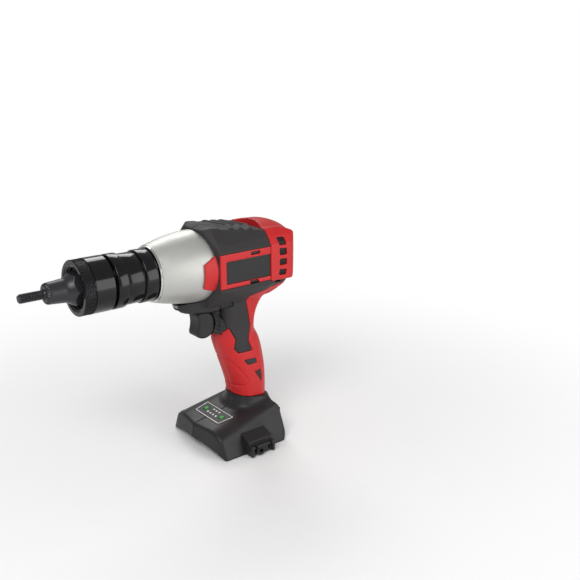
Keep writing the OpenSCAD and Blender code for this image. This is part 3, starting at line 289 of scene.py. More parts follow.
def surface_piece(name, points, faces, finish, body, nodes=(), crease=38.0):
    """Mesh object from points in millimetres and four-sided faces, dressed and tied to its CAD body."""
    mesh = bpy.data.meshes.new(name)
    mesh.vertices.add(len(points))
    mesh.vertices.foreach_set("co", (np.asarray(points) * mm).astype(np.float32).ravel())
    mesh.loops.add(faces.size)
    mesh.loops.foreach_set("vertex_index", faces.astype(np.int32).ravel())
    mesh.polygons.add(len(faces))
    mesh.polygons.foreach_set("loop_start", np.arange(0, faces.size, 4, dtype=np.int32))
    mesh.polygons.foreach_set("use_smooth", np.ones(len(faces), bool))
    mesh.update(calc_edges=True)
    mesh.validate()
    mesh.set_sharp_from_angle(angle=math.radians(crease))
    mesh.materials.append(finish)
    piece = bpy.data.objects.new(name, mesh)
    bpy.context.scene.collection.objects.link(piece)
    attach(piece, body)
    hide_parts(*nodes)
    return piece


def mirrored(points, faces):
    """The same surface on the other side of the middle plane."""
    return points * (1, -1, 1), faces[:, ::-1]


def both_sides(points, faces):
    """A surface on the left and its mirror image on the right, as one mesh."""
    right_points, right_faces = mirrored(points, faces)
    return np.concatenate([points, right_points]), np.concatenate([faces, right_faces + len(points)])


def rise(value, low, high):
    """0 below low, 1 above high, and an even curve between."""
    t = np.clip((value - low) / (high - low), 0, 1)
    return t * t * (3 - 2 * t)


def case_radius(x):
    """Radius of the gear case along the axis: straight at the housing, then falling away in a curve."""
    fallen = np.clip((x - case_straight) / (case_end - case_straight), 0, 1) ** case_curve
    return case_root_r - (case_root_r - case_rim_r) * fallen


def motor_section(y, z, top, taper=0.0):
    """Section of the motor housing across the axis: upright sides, two facets a side above them, one
    wide bevel below, and a level top and bottom."""
    high = z - axis_z
    low_bevel = (y - high - (body_half_w + body_half_h + 0.6 - body_bevel)) / math.sqrt(2)
    steep = 0.851 * (y - body_half_w) + 0.525 * (high - 16.7) + taper
    shoulder = 0.721 * (y - 33.0) + 0.693 * (high - 24.0) + taper
    sides = np.maximum(np.maximum(y - body_half_w + 0.55 * taper, low_bevel), np.maximum(steep, shoulder))
    return round_max(sides, np.maximum(high - top, -body_half_h - high), 0.5)


def cover_edge(y, z):
    """Place of the rear cover's front edge along the axis, set back over the middle of the top."""
    return body_rear - cover_dip * rise(26 - np.abs(y), 0, 22) * rise(z, 206, 209)


def housing_form(x, y, z, flat_x, flat_y, flat_z):
    """Outside of one closed housing half: motor barrel, tail, grip and lamp beak run together."""
    high = z - axis_z
    # The top falls to the rear and carries slanted ridges, a raised brow and a sunk panel.
    top = top_half - top_slope * np.clip(brow_x - x, 0, 90)
    ridge = sum(np.clip(ridge_half - np.abs(x - 0.48 * y + 4.2 + ridge_pitch * i), 0, ridge_high)
                for i in range(ridge_count))
    brow = np.clip(x - 0.45 * y - 8.5, 0, brow_high)
    crest = (ridge + brow) * rise(high, 24, 25) * rise(26 - y, 0, 1)
    panel = side_field(shoulder_panel, flat_x, flat_z)
    inset = 0.35 * rise(-panel, -0.2, 0.2) * rise(y, 15, 17)
    # The front end tapers in facets and ends in a lip that is bowed across the tool.
    front = np.clip(x - taper_start, 0, 9)
    section = motor_section(y, z, top + crest - 0.35 * front, 0.95 * front) + inset
    lip = body_front + 0.2 - lip_bow * y ** 2
    motor = round_max(section, np.maximum(body_rear - 2 - x, x - lip), 0.8)
    # The grip is rounder at the bottom than by the trigger, with a groove round its side pad.
    grip_flat = side_field(eased(grip_outline), flat_x, flat_z)
    grip_round = 16.0 - 8 * rise(z, 104, 122)
    grip_width = grip_half_w - 1.2 * rise(z, 60, 100) * rise(130 - z, 0, 20)
    pad = np.abs(side_field(eased(pad_outline, 2), flat_x, flat_z))
    grip = round_max(grip_flat, y - grip_width, grip_round) + 0.6 * rise(0.95 - pad, 0, 0.8)
    tail_flat = side_field(tail_outline, flat_x, flat_z)
    tail_plan = (0.35 * y - x - 59.5) / 1.06
    tail = round_max(round_max(motor_section(y, z, 30.0) + 0.8, tail_plan, 3.0), tail_flat, 2.5)
    beak = round_max(side_field(eased(beak_side, 2), flat_x, flat_z),
                     flat_field(eased(beak_plan, 2), flat_x, flat_y)[:, :, None], 4.5)
    form = round_min(round_min(round_min(motor, tail, 2.0), grip, 4.0), beak, 3.0)
    form = round_max(form, -side_field(eased(pocket_scoop, 2), flat_x, flat_z), 0.9)
    under_case = case_radius(x) + case_gap - np.hypot(y, high)
    return np.maximum(form, np.where(x > body_front - 0.05, under_case, -outside))


red = worked_finish("red_nylon", paint(190, 34, 36), 0.42, drift=0.07, grain=2600.0, depth=0.12)
rubber = worked_finish("black_rubber", paint(48, 46, 46), 0.62, drift=0.1, grain=1500.0, depth=0.3)
for hand, flip in (("left", False), ("right", True)):
    (flat_x, flat_y, flat_z), (x, y, z) = grid((-60, 0, 36), (58, 38.5, 219.5), pitch)
    form = housing_form(x, y, z, flat_x, flat_y, flat_z)
    reach = np.hypot(y, z - axis_z)
    # A hollow shell behind the solid beak, parted into red and black by the rubber's outline.
    hollow = np.maximum(np.where(x > beak_solid_x, -outside, -(form + wall)), seam - y)
    region = side_field(rubber_outline, flat_x, flat_z)
    bare_edge = np.where(z > 164, cover_edge(y, z) - x + seam, -outside)
    red_solid = round_max(np.maximum(form, hollow), np.maximum(seam - region, bare_edge), 0.5)
    black_solid = round_max(np.maximum(form - 0.1, hollow), np.maximum(region + seam, bare_edge), 0.5)
    # The label's window, two slots in its frame with black plugs in them, and the tab on the gear case.
    window = np.maximum(x - window_front, np.abs(z - 180.0) - window_half_h)
    upper_slot = round_max(np.abs(x + 10) - 5.1, np.abs(z - 194.2) - 1.5, 0.8)
    lower_slot = round_max(np.abs(x + 8.5 - 0.5 * (z - 166.9)) - 5.1, np.abs(z - 167.2) - 1.3, 0.8)
    slots = np.minimum(upper_slot, lower_slot)
    tab = np.maximum(side_field(tab_outline, flat_x, flat_z), np.maximum(reach - 35.3, 33.75 - reach))
    red_solid = np.maximum(red_solid, -np.maximum(window, 36.0 - y))
    red_solid = np.maximum(red_solid, -np.maximum(slots, 30.0 - y))
    red_solid = np.minimum(red_solid, tab)
    plug = np.maximum(np.maximum(slots + 0.15, form + 1.6), np.maximum(-3.6 - form, 31.0 - y))
    black_solid = np.minimum(black_solid, plug)
    # The sloped end above the foot and the beds of the two inlays.
    red_solid = np.maximum(red_solid, base_cut + base_slope * x + seam - z)
    inlays = np.minimum(*(side_field(line, flat_x, flat_z) for line in inlay_outlines)) - 0.2
    red_solid = np.maximum(red_solid, -np.maximum(inlays, -1.5 - form))
    # Fine grooves in the rear strip, down the back of the grip, by the selector and on the beak's tip.
    strip_line = np.where((z > 126) & (x < -13) & (z < 157), np.abs(region - 5.6) - 0.3, outside)
    back_line = np.abs(side_field(eased(grip_outline), flat_x, flat_z) + 6.2) - 0.25
    back_line = np.where((z > 84) & (z < 114) & (x < -12), back_line, outside)
    rib_lines = np.minimum(*(side_field(line, flat_x, flat_z) for line in (rib_front, rib_rear)))
    tip_line = np.where(x > 40, np.abs(z - 142.2 - 0.27 * (x - 42.8)) - 0.3, outside)
    grooves = np.minimum(np.minimum(strip_line, back_line), np.minimum(rib_lines, tip_line))
    red_solid = np.maximum(red_solid, -np.maximum(grooves, -groove_depth - form))
    black_solid = np.maximum(black_solid, -np.maximum(grooves, -groove_depth - form))
    notch = np.maximum(np.abs(x + 36.2 - 0.6 * (z - 162.6)) - 3.2, np.abs(z - 162.6) - 0.9)
    below_cover = np.maximum(notch, 29.0 - y)
    black_solid = np.maximum(black_solid, -np.maximum(below_cover, -3.0 - form))
    # Room for the bellows, the selector, the lamp and the gear case's spigot.
    pocket = np.maximum(np.maximum(7.0 - x, y - 10.0), np.abs(z - 124.6) - 12.4)
    lever = np.maximum(side_field(selector_hole, flat_x, flat_z), 9.0 - y)
    lamp = np.maximum(np.maximum(51.9 - x, y - 4.7), np.abs(z - lens_z) - 1.45)
    spigot = np.minimum(np.maximum(reach - 30.3, 27.0 - x), np.maximum(reach - 33.65, 29.2 - x))
    cuts = np.minimum(np.minimum(pocket, lever), np.minimum(lamp, spigot))
    black_solid = np.maximum(black_solid, -cuts)
    red_solid = np.maximum(red_solid, -cuts)
    if flip:
        for sx, sz in screw_spots:
            bore = np.hypot(x - sx, z - sz)
            sleeve = np.maximum(np.maximum(bore - screw_boss_r, 6.5 - y), form + 0.5)
            on_rubber = flat_field(rubber_outline, np.array([sx]), np.array([sz]))[0, 0] < 0
            if on_rubber:
                black_solid = np.minimum(black_solid, sleeve)
            else:
                red_solid = np.minimum(red_solid, sleeve)
            shaft = np.maximum(bore - screw_bore_r, 8.6 - y)
            black_solid = np.maximum(black_solid, -shaft)
            red_solid = np.maximum(red_solid, -shaft)
    for solid, title, finish, slot in ((red_solid, "housing", red, "red_shell"),
                                       (black_solid, "overmould", rubber, "rubber_skin")):
        points, faces = skin(solid, (flat_x, flat_y, flat_z))
        if flip:
            points, faces = mirrored(points, faces)
        surface_piece(f"{title}_{hand}_looks", points, faces, finish, "tool_body", [f"{title}_{hand}"])

# Red rear cover over the fan.
# One nylon moulding with faceted corners, a crowned top and four slanted air vents a side, held to
# the housing by two screws from behind.
cover_outline = [(-16, 164.4), (-24, 163.9), (-54, 163.1), (-56.8, 165), (-58.8, 172), (-60, 184),
                 (-60, 193), (-59.2, 201), (-58, 230), (-16, 230)]
cover_top = 216.7
cover_crown = 0.0085
cover_fall = 0.0125
vent_top = 200.4
vent_pitch = 9.9
vent_bow = 0.0045
vent_count = 4
vent_mid_z = 184
(flat_x, flat_y, flat_z), (x, y, z) = grid((-60, 0, 162), (-25, 38, 218), 0.7)
side = side_field(cover_outline, flat_x, flat_z)
corner = (y - x - 90.4) / math.sqrt(2)
fallen = cover_crown * np.minimum(y, 22) ** 2 + cover_fall * np.clip(-38 - x, 0, 30) ** 2
top = (z - cover_top + fallen) / 1.15
cover = round_max(round_max(motor_section(y, z, 40.0) - 0.15, side, 1.0), corner, 2.2)
cover = round_max(cover, top, 1.6)
lead_edge = x - (cover_edge(y, z) - seam)
mouths = np.full(cover.shape, outside)
for i in range(vent_count):
    off = z - (vent_top - vent_pitch * i)
    front = -37.9 + vent_bow * (z - vent_mid_z) ** 2
    half_high = 3.5 - 0.25 * i
    mouth = round_max(np.abs(x - front + 4.2) - 4.2, np.abs(off - 0.08 * (x + 41)) - half_high, 0.9)
    mouths = np.minimum(mouths, mouth)
rear_line = np.maximum(np.abs(z - 183.4) - 0.25, np.maximum(x + 47.5, -0.5 - cover))
depth = wall + 5.0 * rise(lead_edge, -3.0, -2.2) * rise(z, 200, 206)
cover_solid = round_max(np.maximum(cover, np.maximum(-(cover + depth), -0.9 - y)), lead_edge, 0.5)
cover_solid = np.maximum(np.maximum(cover_solid, -np.maximum(mouths, 28.0 - y)), -rear_line)
points, faces = both_sides(*skin(np.maximum(cover_solid, -y), (flat_x, flat_y, flat_z)))
surface_piece("rear_cover_looks", points, faces, red, "tool_body", ["rear_cover"])

# Black screens in the vents.
# Thin nylon plates with one level bar each, clipped into the rear cover's vents to keep chips off
# the fan.
bars = 0.6 * rise(1.1 - np.abs((z - vent_top + vent_pitch / 2) % vent_pitch - vent_pitch / 2), 0, 0.5)
screen = np.maximum(mouths + 0.12, np.abs(cover + 1.9 - bars) - 0.6)
points, faces = both_sides(*skin(np.maximum(screen, 24.0 - y), (flat_x, flat_y, flat_z)))
grille = worked_finish("grille_nylon", paint(24, 24, 25), 0.6)
surface_piece("vent_grille", points, faces, grille, "tool_body")

# Black battery foot.
# Two nylon halves that close on the middle plane, flaring up into the handle, with a sloped top
# for the control panel and rails below on which a battery slides in from the front.
foot_side = [(-39.5, 4), (-36, 0), (60, 0), (60, 60), (-15.3, 60), (-39.5, 31)]
foot_end = [(-1, -5), (46.8, -5), (46.8, 1.5), (20.6, 60), (-1, 60)]
crown_start = 20.0
crown = 0.0177
foot_plan = [(-39.5, -1), (60, -1), (60, 60), (-23.2, 60), (-39.5, 42.5)]
foot_screws = [(-31, 17), (28, 17)]
arch_high = 8.7
arch_half = 46.0
neck_fillet = 11.0
panel_place = (16.5, 28.17)
panel_tilt = math.radians(10)
panel_length = 17.4
panel_shift = 0.6
panel_front_half = 20.5
panel_rear_half = 23.0
key_y = 13.5
foot_plastic = worked_finish("foot_nylon", paint(38, 37, 39), 0.45, drift=0.08, grain=1700.0, depth=0.25)


def panel_frame(x, z):
    """Places along the panel's slope and square to it."""
    dx, dz = x - panel_place[0], z - panel_place[1]
    along = dx * math.cos(panel_tilt) - dz * math.sin(panel_tilt)
    above = dx * math.sin(panel_tilt) + dz * math.cos(panel_tilt)
    return along, above


def panel_half(along):
    """Half the panel's width at a place along its slope, narrowing evenly to the front."""
    ends = [-panel_length / 2, panel_length / 2]
    return np.interp(along - panel_shift, ends, [panel_rear_half, panel_front_half])


for hand, flip in (("left", False), ("right", True)):
    (flat_x, flat_y, flat_z), (x, y, z) = grid((-42, 0, 0), (43, 47, 48), 0.7)
    # A block under a sloped, crowned top, with leaning sides and a front of one prow and two facets.
    drop = crown * np.clip(y - crown_start, 0, 40) ** 2
    slope_top = (z + drop - 24.8 - 0.1763 * (34.6 - x)) / 1.06
    block = round_max(slope_top, flat_field(foot_end, flat_y, flat_z)[None, :, :], 1.6)
    block = round_max(block, flat_field(foot_plan, flat_x, flat_y)[:, :, None], 2.0)
    prow = (x + 0.1285 * y + 0.08 * z - 42.4) / 1.011
    facet = 0.965 * (x - 37.9) + 0.25 * (y - 29.85) + 0.08 * (z - 14.9)
    block = round_max(block, round_max(prow, facet, 0.3), 2.6)
    block = round_max(block, side_field(foot_side, flat_x, flat_z), 0.4)
    arch = z - arch_high * np.clip(1 - (np.abs(y) / arch_half) ** 2.5, 0, 1)
    block = np.maximum(block, -np.maximum(arch, 31.0 - x))
    # The neck runs up to the handle in a wide fillet, and a low pad stands on the rear face.
    rear_pad = round_max(np.maximum(-41.4 - x, x + 36), np.maximum(y - 33.0, np.abs(z - 23.0) - 6.5), 1.6)
    neck = round_max(side_field(eased(grip_outline), flat_x, flat_z), y - grip_half_w, 16.0) - 0.9
    foot = np.minimum(round_max(round_min(block, neck, neck_fillet), -41.0 - x, 1.0), rear_pad)
    foot = np.maximum(foot, z - (base_cut + base_slope * x - seam))
    # Rails for the battery below, the panel's tray and the keys' holes above.
    rail = np.where(x > 33, 39.1 - 0.9 * np.clip(z - 1, 0, 4), np.where(z < 1.8, 39.1, 43.4))
    bay = np.maximum(np.maximum(z - 5.0, -36.3 - x), y - rail)
    along, above = panel_frame(x, z)
    tray = np.maximum(np.abs(along - panel_shift) - panel_length / 2 - 0.1, y - panel_half(along) - 0.1)
    tray = np.maximum(tray, -0.75 - above)
    key_hole = np.maximum(np.hypot(along, y - key_y) - 3.3, -6.0 - above)
    foot = np.maximum(np.maximum(np.maximum(foot, -bay), -tray), np.maximum(-key_hole, seam / 2 - y))
    if flip:
        for sx, sz in foot_screws:
            foot = np.maximum(foot, -np.maximum(np.hypot(x - sx, z - sz) - 3.1, 36.5 - y))
    points, faces = skin(foot, (flat_x, flat_y, flat_z))
    if flip:
        points, faces = mirrored(points, faces)
    surface_piece(f"foot_{hand}_looks", points, faces, foot_plastic, "tool_body",
                  [f"foot_{hand}"])

# Silver gear case ahead of the housing.
# A bead-blasted aluminium casting, turned at both ends, whose spigot is held in the housing by the
# gearbox screws; its front rim is left bright from the lathe.
turns = 160


def bevelled(profile, cut):
    """Closed profile with each corner cut back by that length along both of its edges."""
    line = np.array(profile, float)
    back, ahead = np.roll(line, 1, axis=0) - line, np.roll(line, -1, axis=0) - line
    back_len, ahead_len = np.linalg.norm(back, axis=1)[:, None], np.linalg.norm(ahead, axis=1)[:, None]
    first = line + back / back_len * np.minimum(cut, 0.4 * back_len)
    second = line + ahead / ahead_len * np.minimum(cut, 0.4 * ahead_len)
    return np.stack([first, second], axis=1).reshape(-1, 2)


def turned(profile, count=turns, shape=None):
    """Closed profile of (place along the axis, radius) carried round the nose axis in even steps.
    A shape function, where given, changes the radius by angle."""
    line = np.array(profile, float)
    ahead = np.roll(line, -1, axis=0)
    if (line[:, 0] * ahead[:, 1] - ahead[:, 0] * line[:, 1]).sum() > 0:
        line = line[::-1]
    angle = np.arange(count) * 2 * np.pi / count
    along = np.repeat(line[:, :1], count, axis=1)
    radius = np.repeat(line[:, 1:], count, axis=1)
    turn = np.repeat(angle[None], len(line), axis=0)
    if shape is not None:
        radius = shape(along, radius, turn)
    points = np.stack([along, radius * np.sin(turn), axis_z + radius * np.cos(turn)], axis=-1).reshape(-1, 3)
    i, j = np.meshgrid(np.arange(len(line)), np.arange(count), indexing="ij")
    i_next, j_next = (i + 1) % len(line), (j + 1) % count
    ring, ring_next = i * count, i_next * count
    faces = np.stack([ring + j, ring_next + j, ring_next + j_next, ring + j_next], axis=-1)
    return points, faces.reshape(-1, 4)


silver = worked_finish("blasted_aluminium", paint(190, 190, 186), 0.48, metal=0.7, drift=0.04, grain=2400.0,
                       depth=0.22)
bright = worked_finish("turned_rim", paint(214, 214, 210), 0.2, metal=1.0, drift=0.03)
case_x = np.linspace(case_straight, case_end - 1.6, 40)
case_line = [(27.6, 29.9), (29.4, 29.9), (29.5, case_root_r), *zip(case_x, case_radius(case_x)),
             (case_end - 1.5, 25.2), (case_end - 1.5, 23.0), (27.6, 23.0)]
points, faces = turned(case_line)
surface_piece("gear_case_looks", points, faces, silver, "tool_body", ["gear_case"])
rim_rear = case_end - 1.5
rim_line = bevelled([(rim_rear, 23.8), (rim_rear, 25.7), (case_end, 25.4), (case_end, 23.8)], 0.25)
points, faces = turned(rim_line)
surface_piece("gear_case_rim", points, faces, bright, "tool_body")

# Nose barrel with its rings and grooves.
# Turned aluminium, black anodised and polished, screwed to the gear case; its front end carries
# the thread for the stroke collar.
gloss_black = worked_finish("black_anodised", paint(20, 20, 22), 0.13, metal=0.35, drift=0.15, grain=900.0,
                            depth=0.02, gloss=0.5)
barrel_line = [(case_end, 19.0), (case_end, 23.0), (82.6, 23.7), (93.4, 23.7), (94, 23.2), (94, 21.4),
               (95.5, 21.4), (95.5, 22.2), (96, 22.6), (110.0, 22.6), (110.3, 22.3), (110.6, 22.3),
               (110.6, 23.8), (111.1, 24.2), (119.8, 24.2), (120.4, 23.6), (120.4, 20.2), (136.5, 20.2),
               (136.5, 19.0)]
points, faces = turned(bevelled(barrel_line, 0.12))
surface_piece("nose_barrel_looks", points, faces, gloss_black, "tool_body", ["nose_barrel"],
              crease=28)

# Stroke collar with its knurled band.
# Turned and knurled aluminium, black anodised; it screws along the barrel's thread to set the
# stroke and carries the anvil in its front web.
collar_rear = 123.1
collar_front = 150.7
collar_r = 24.2
knurl_rear = 141.0
knurl_front = 150.0
knurl_count = 72
knurl_depth = 0.8


def knurled(along, radius, turn):
    """Diamond knurl: two sets of crossed grooves cut into the outer band."""
    lead = (along - knurl_rear) * knurl_count / (2 * np.pi * collar_r)
    wave = knurl_count * turn / (2 * np.pi)
    ridge = np.minimum(*(1 - np.abs(2 * ((wave + side * lead) % 1) - 1) for side in (1, -1)))
    band = (along > knurl_rear) & (along < knurl_front) & (radius > collar_r - 0.2)
    return radius - np.where(band, knurl_depth * (1 - ridge), 0)


knurl_x = np.linspace(knurl_rear, knurl_front, 48)
collar_line = [(collar_rear, 20.6), (collar_rear, 23.6), (collar_rear + 0.6, collar_r), (140.2, collar_r),
               (140.5, collar_r - 0.5), (140.8, collar_r - 0.5), *((x, collar_r) for x in knurl_x),
               (collar_front, collar_r - 0.6), (collar_front, 20.4), (149.6, 19.6), (149.2, 18.6),
               (147.4, 18.4), (147.2, 18.0), (145, 17.6), (145, 7.2), (139, 7.2), (139, 20.6)]
points, faces = turned(collar_line, 768, knurled)
collar = surface_piece("stroke_collar_looks", points, faces, gloss_black, "collar",
                       ["stroke_collar"], crease=28)
knurl_satin = worked_finish("knurled_satin", paint(36, 36, 38), 0.32, metal=0.5, drift=0.1, grain=900.0,
                            depth=0.05)
collar.data.materials.append(knurl_satin)
middle_x = points[faces, 0].mean(axis=1)
middle_r = np.hypot(points[faces, 1], points[faces, 2] - axis_z).mean(axis=1)
on_band = (middle_x > knurl_rear) & (middle_x < knurl_front) & (middle_r > collar_r - 1)
collar.data.polygons.foreach_set("material_index", on_band.astype(np.int32))

# Anvil in the collar's web.
# Hardened steel, blackened: a hexagon for a spanner, a cone that scallops its corners, and a tapered
# snout with a serrated edge that bites the rivet nut's flange.
hex_half = 13.0
snout_x = 160.5
anvil_face = 176.0
snout_r = 10.2
face_r = 8.9
teeth = 30
tooth_depth = 0.55
cone_start = 151.2
cone_root_r = 15.2


def anvil_shape(along, radius, turn):
    """Hexagon cut by the cone in front of it, and shallow teeth on the front edge."""
    flat = hex_half / np.cos((turn + np.pi / 6) % (np.pi / 3) - np.pi / 6)
    tooth = np.abs(2 * ((teeth * turn / (2 * np.pi)) % 1) - 1)
    edge = (along > anvil_face - 3.2) & (radius > 6.5)
    bite = tooth_depth * tooth * rise(along, anvil_face - 3.2, anvil_face - 1.2)
    return np.minimum(radius, flat) - np.where(edge, bite, 0)


black_steel = worked_finish("blackened_tool_steel", paint(62, 62, 65), 0.36, metal=0.6, drift=0.14,
                            grain=1300.0, depth=0.12)
cone_x = np.linspace(cone_start, snout_x, 24)
cone_r = snout_r + (cone_root_r - snout_r) * ((snout_x - cone_x) / (snout_x - cone_start)) ** 1.7
snout = np.linspace(snout_x + 0.4, anvil_face - 2.2, 10)
snout_line = np.interp(snout, [snout_x, anvil_face], [snout_r, face_r])
anvil_line = [(139.5, 4.45), (139.5, 7.0), (145.05, 7.0), (145.05, 14.4), (145.8, 15.1),
              *zip(cone_x, cone_r), *zip(snout, snout_line), (anvil_face - 1.2, 8.7),
              (anvil_face - 0.3, 7.9), (anvil_face, 7.3), (anvil_face, 4.9), (anvil_face - 0.5, 4.45)]
points, faces = turned(anvil_line, 360, anvil_shape)
surface_piece("anvil_looks", points, faces, black_steel, "collar", ["anvil"], crease=30)

# Threaded mandrel.
# Heat-treated steel stud with a rolled metric thread, screwed by hand into the draw cap; a rivet nut
# is run onto its free end.
mandrel_r = 4.0
mandrel_tip = 197.3
thread_pitch = 1.25
thread_start = 178.0


def threaded(along, radius, turn):
    """Thread: the radius dips between the crests of one helix and fades in where the helix starts."""
    swing = np.abs(2 * ((along / thread_pitch - turn / (2 * np.pi)) % 1) - 1)
    groove = np.clip(1.35 * swing - 0.2, 0, 1) * 0.68
    return radius - np.where(radius > 3.2, groove * rise(along, thread_start - 0.6, thread_start + 0.6), 0)


mandrel_x = np.linspace(thread_start, mandrel_tip - 1.0, 150)
mandrel_line = [(118, 0.05), (118, 3.95), (176.2, 3.95), (176.6, 3.5), (177.4, 3.5),
                *((x, mandrel_r) for x in mandrel_x), (mandrel_tip - 0.1, 3.25), (mandrel_tip, 3.0),
                (mandrel_tip, 0.05)]
points, faces = turned(mandrel_line, 72, threaded)
surface_piece("mandrel_looks", points, faces, black_steel, "mandrel_body", ["mandrel"],
              crease=50)

# Trigger.
# Black nylon moulding with a hollowed front for the finger and eased edges; its plunger slides into
# the switch behind the grip's front wall.
trigger_outline = [(24, 111.6), (32.1, 111.0), (39.4, 116.0), (39.4, 137.6), (24, 137.6), (18.6, 132),
                   (17.8, 124.6), (18.6, 117)]
trigger_half_w = 9.0
trigger_round = 2.6
finger_r = 26.0
plunger_z = 124.65
plunger_r = 4.0
plunger_end = 1.3
(flat_x, flat_y, flat_z), (x, y, z) = grid((1, -9.2, 110.4), (39.6, 9.2, 138), 0.4)
finger = finger_r - np.hypot(x - 61.4, z - 126.6)
side = round_max(side_field(eased(trigger_outline, 2), flat_x, flat_z), finger, trigger_round)
lever = round_max(side, np.abs(y) - trigger_half_w, trigger_round)
cup = np.maximum(np.maximum(x - 21.4, np.abs(y) - 7.9), np.abs(z - plunger_z) - 10.2)
lever = np.maximum(lever, -cup)
plunger = np.maximum(np.hypot(y, z - plunger_z) - plunger_r, np.maximum(plunger_end - x, x - 25))
points, faces = skin(np.minimum(lever, plunger), (flat_x, flat_y, flat_z))
trigger_nylon = worked_finish("trigger_nylon", paint(38, 37, 38), 0.46, drift=0.08, grain=1900.0, depth=0.2)
surface_piece("trigger_looks", points, faces, trigger_nylon, "trigger_body", ["trigger"])

# Ribbed bellows behind the trigger.
# One soft rubber moulding with level ribs and three folds, clipped into the housing's pocket, that
# keeps dirt off the plunger and folds up as the trigger is pulled.
bellows_rear = 7.3
bellows_front = 17.4
front_bow = 0.028
bellows_folds = 3
fold_depth = 0.8
rib_depth = 1.1
rib_pitch = 4.1
rubber_t = 0.9
boot_end = bellows_front + 3.6
(flat_x, flat_y, flat_z), (x, y, z) = grid((bellows_rear, -17.6, 112), (boot_end, 17.6, 137.2), 0.4)
length_share = (x - bellows_rear) / (bellows_front - bellows_rear)
fold = fold_depth * (0.5 - 0.5 * np.cos(2 * np.pi * bellows_folds * length_share))
rib = rib_depth * (0.5 - 0.5 * np.cos(2 * np.pi * (z - plunger_z - 0.2 * x) / rib_pitch))
half_y = np.interp(x, [9.0, 12.0, 17.4], [17.2, 16.4, 9.4])
half_z = np.interp(x, [9.0, 16.0, 17.5], [12.4, 12.2, 11.4])
boot = round_max(np.abs(y) - half_y + fold + rib, np.abs(z - plunger_z) - half_z + fold, 1.6)
inside_scoop = side_field(eased(pocket_scoop, 2), flat_x, flat_z)
boot = np.maximum(boot, np.minimum(np.abs(y) - 9.7, inside_scoop + 0.35))
ends = np.maximum(bellows_rear - x, x - bellows_front - front_bow * (z - plunger_z) ** 2)
boot = np.maximum(np.maximum(boot, -boot - rubber_t), ends)
points, faces = skin(boot, (flat_x, flat_y, flat_z))
bellows = surface_piece("bellows_looks", points, faces, rubber, "tool_body",
                        ["trigger_bellows"], crease=60)
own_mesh(bellows)

# Trigger spring.
# A coil of round steel wire, shut inside the switch between its wall and the plunger's end,
# that shortens as the trigger is pulled.
spring_low, spring_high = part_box("trigger_spring")
spring_rear = spring_low[0] / mm
spring_front = spring_high[0] / mm - 0.05
wire_r = 0.5
coil_r = 2.95
coil_turns = 5
wire_sides = 8
# The wire's middle goes round a circle of coil_r as it goes along the axis. Its eight-sided section
# lies across that circle, and three faces close each end.
along = np.linspace(0, 1, 160)[:, None, None]
around = (2 * np.pi * np.arange(wire_sides) / wire_sides)[None, :, None]
angle = 2 * np.pi * coil_turns * along
outward = np.concatenate([0 * angle, np.sin(angle), np.cos(angle)], axis=2)
coil_length = spring_front - spring_rear - 2 * wire_r
wire_x = spring_rear + wire_r + coil_length * along
middle = np.concatenate([wire_x, 0 * along, plunger_z + 0 * along], axis=2)
across = wire_r * np.sin(around) * np.array([1.0, 0, 0])
points = (middle + (coil_r + wire_r * np.cos(around)) * outward + across).reshape(-1, 3)
i, j = np.meshgrid(np.arange(len(along) - 1) * wire_sides, np.arange(wire_sides), indexing="ij")
j_next = (j + 1) % wire_sides
faces = np.stack([i + j, i + j_next, i + wire_sides + j_next, i + wire_sides + j], axis=-1).reshape(-1, 4)
cap = np.array([[0, 1, 2, 3], [0, 3, 4, 7], [4, 5, 6, 7]])
faces = np.concatenate([faces, cap[:, ::-1], cap + (len(along) - 1) * wire_sides])
spring = surface_piece("trigger_spring_looks", points, faces, steel, "tool_body",
                       ["trigger_spring"])
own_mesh(spring)

# Direction selector above the trigger.
# A nylon slide that passes through the housing from side to side, with a ribbed pad on each end.
selector_outline = [(3.9, 141.5), (17.0, 141.5), (18.7, 145.9), (5.5, 145.9)]
selector_mid_y = -2.4
selector_half = 21.6
(flat_x, flat_y, flat_z), (x, y, z) = grid((3.5, -24.2, 141), (19, 19.4, 146.3), 0.35)
out = np.abs(y - selector_mid_y)
rib = 0.35 * rise(np.abs((x - 0.4 * (z - 143.7)) % 2.4 - 1.2), 0.5, 0.8) * (out > 20.6)
bar = round_max(side_field(selector_outline, flat_x, flat_z), out - selector_half + rib, 0.7)
points, faces = skin(bar, (flat_x, flat_y, flat_z))
surface_piece("selector_looks", points, faces, trigger_nylon, "selector",
              ["direction_selector"])

# Lamp lens in the tip of the beak.
# Clear moulded plastic over a white lamp on its board, snapped into the beak.
lens = worked_finish("clear_lens", paint(198, 202, 206), 0.1, drift=0.03, depth=0.03, gloss=0.5)
lens_shader = lens.node_tree.nodes["Principled BSDF"]
lens_shader.inputs["Transmission Weight"].default_value = 0.45
lens_rear = 53.0
lens_front = 56.4
lens_half_w = 4.4
lens_half_h = 1.25
(flat_x, flat_y, flat_z), (x, y, z) = grid((52.6, -5.6, 145), (56.8, 5.6, 149), 0.3)
pane = np.maximum(lens_rear - x, x - lens_front + 0.05 * y * y)
pane = round_max(round_max(pane, np.abs(y) - lens_half_w, 0.8), np.abs(z - lens_z) - lens_half_h, 0.5)
points, faces = skin(pane, (flat_x, flat_y, flat_z))
surface_piece("lamp_lens_looks", points, faces, lens, "tool_body", ["lamp_lens"])

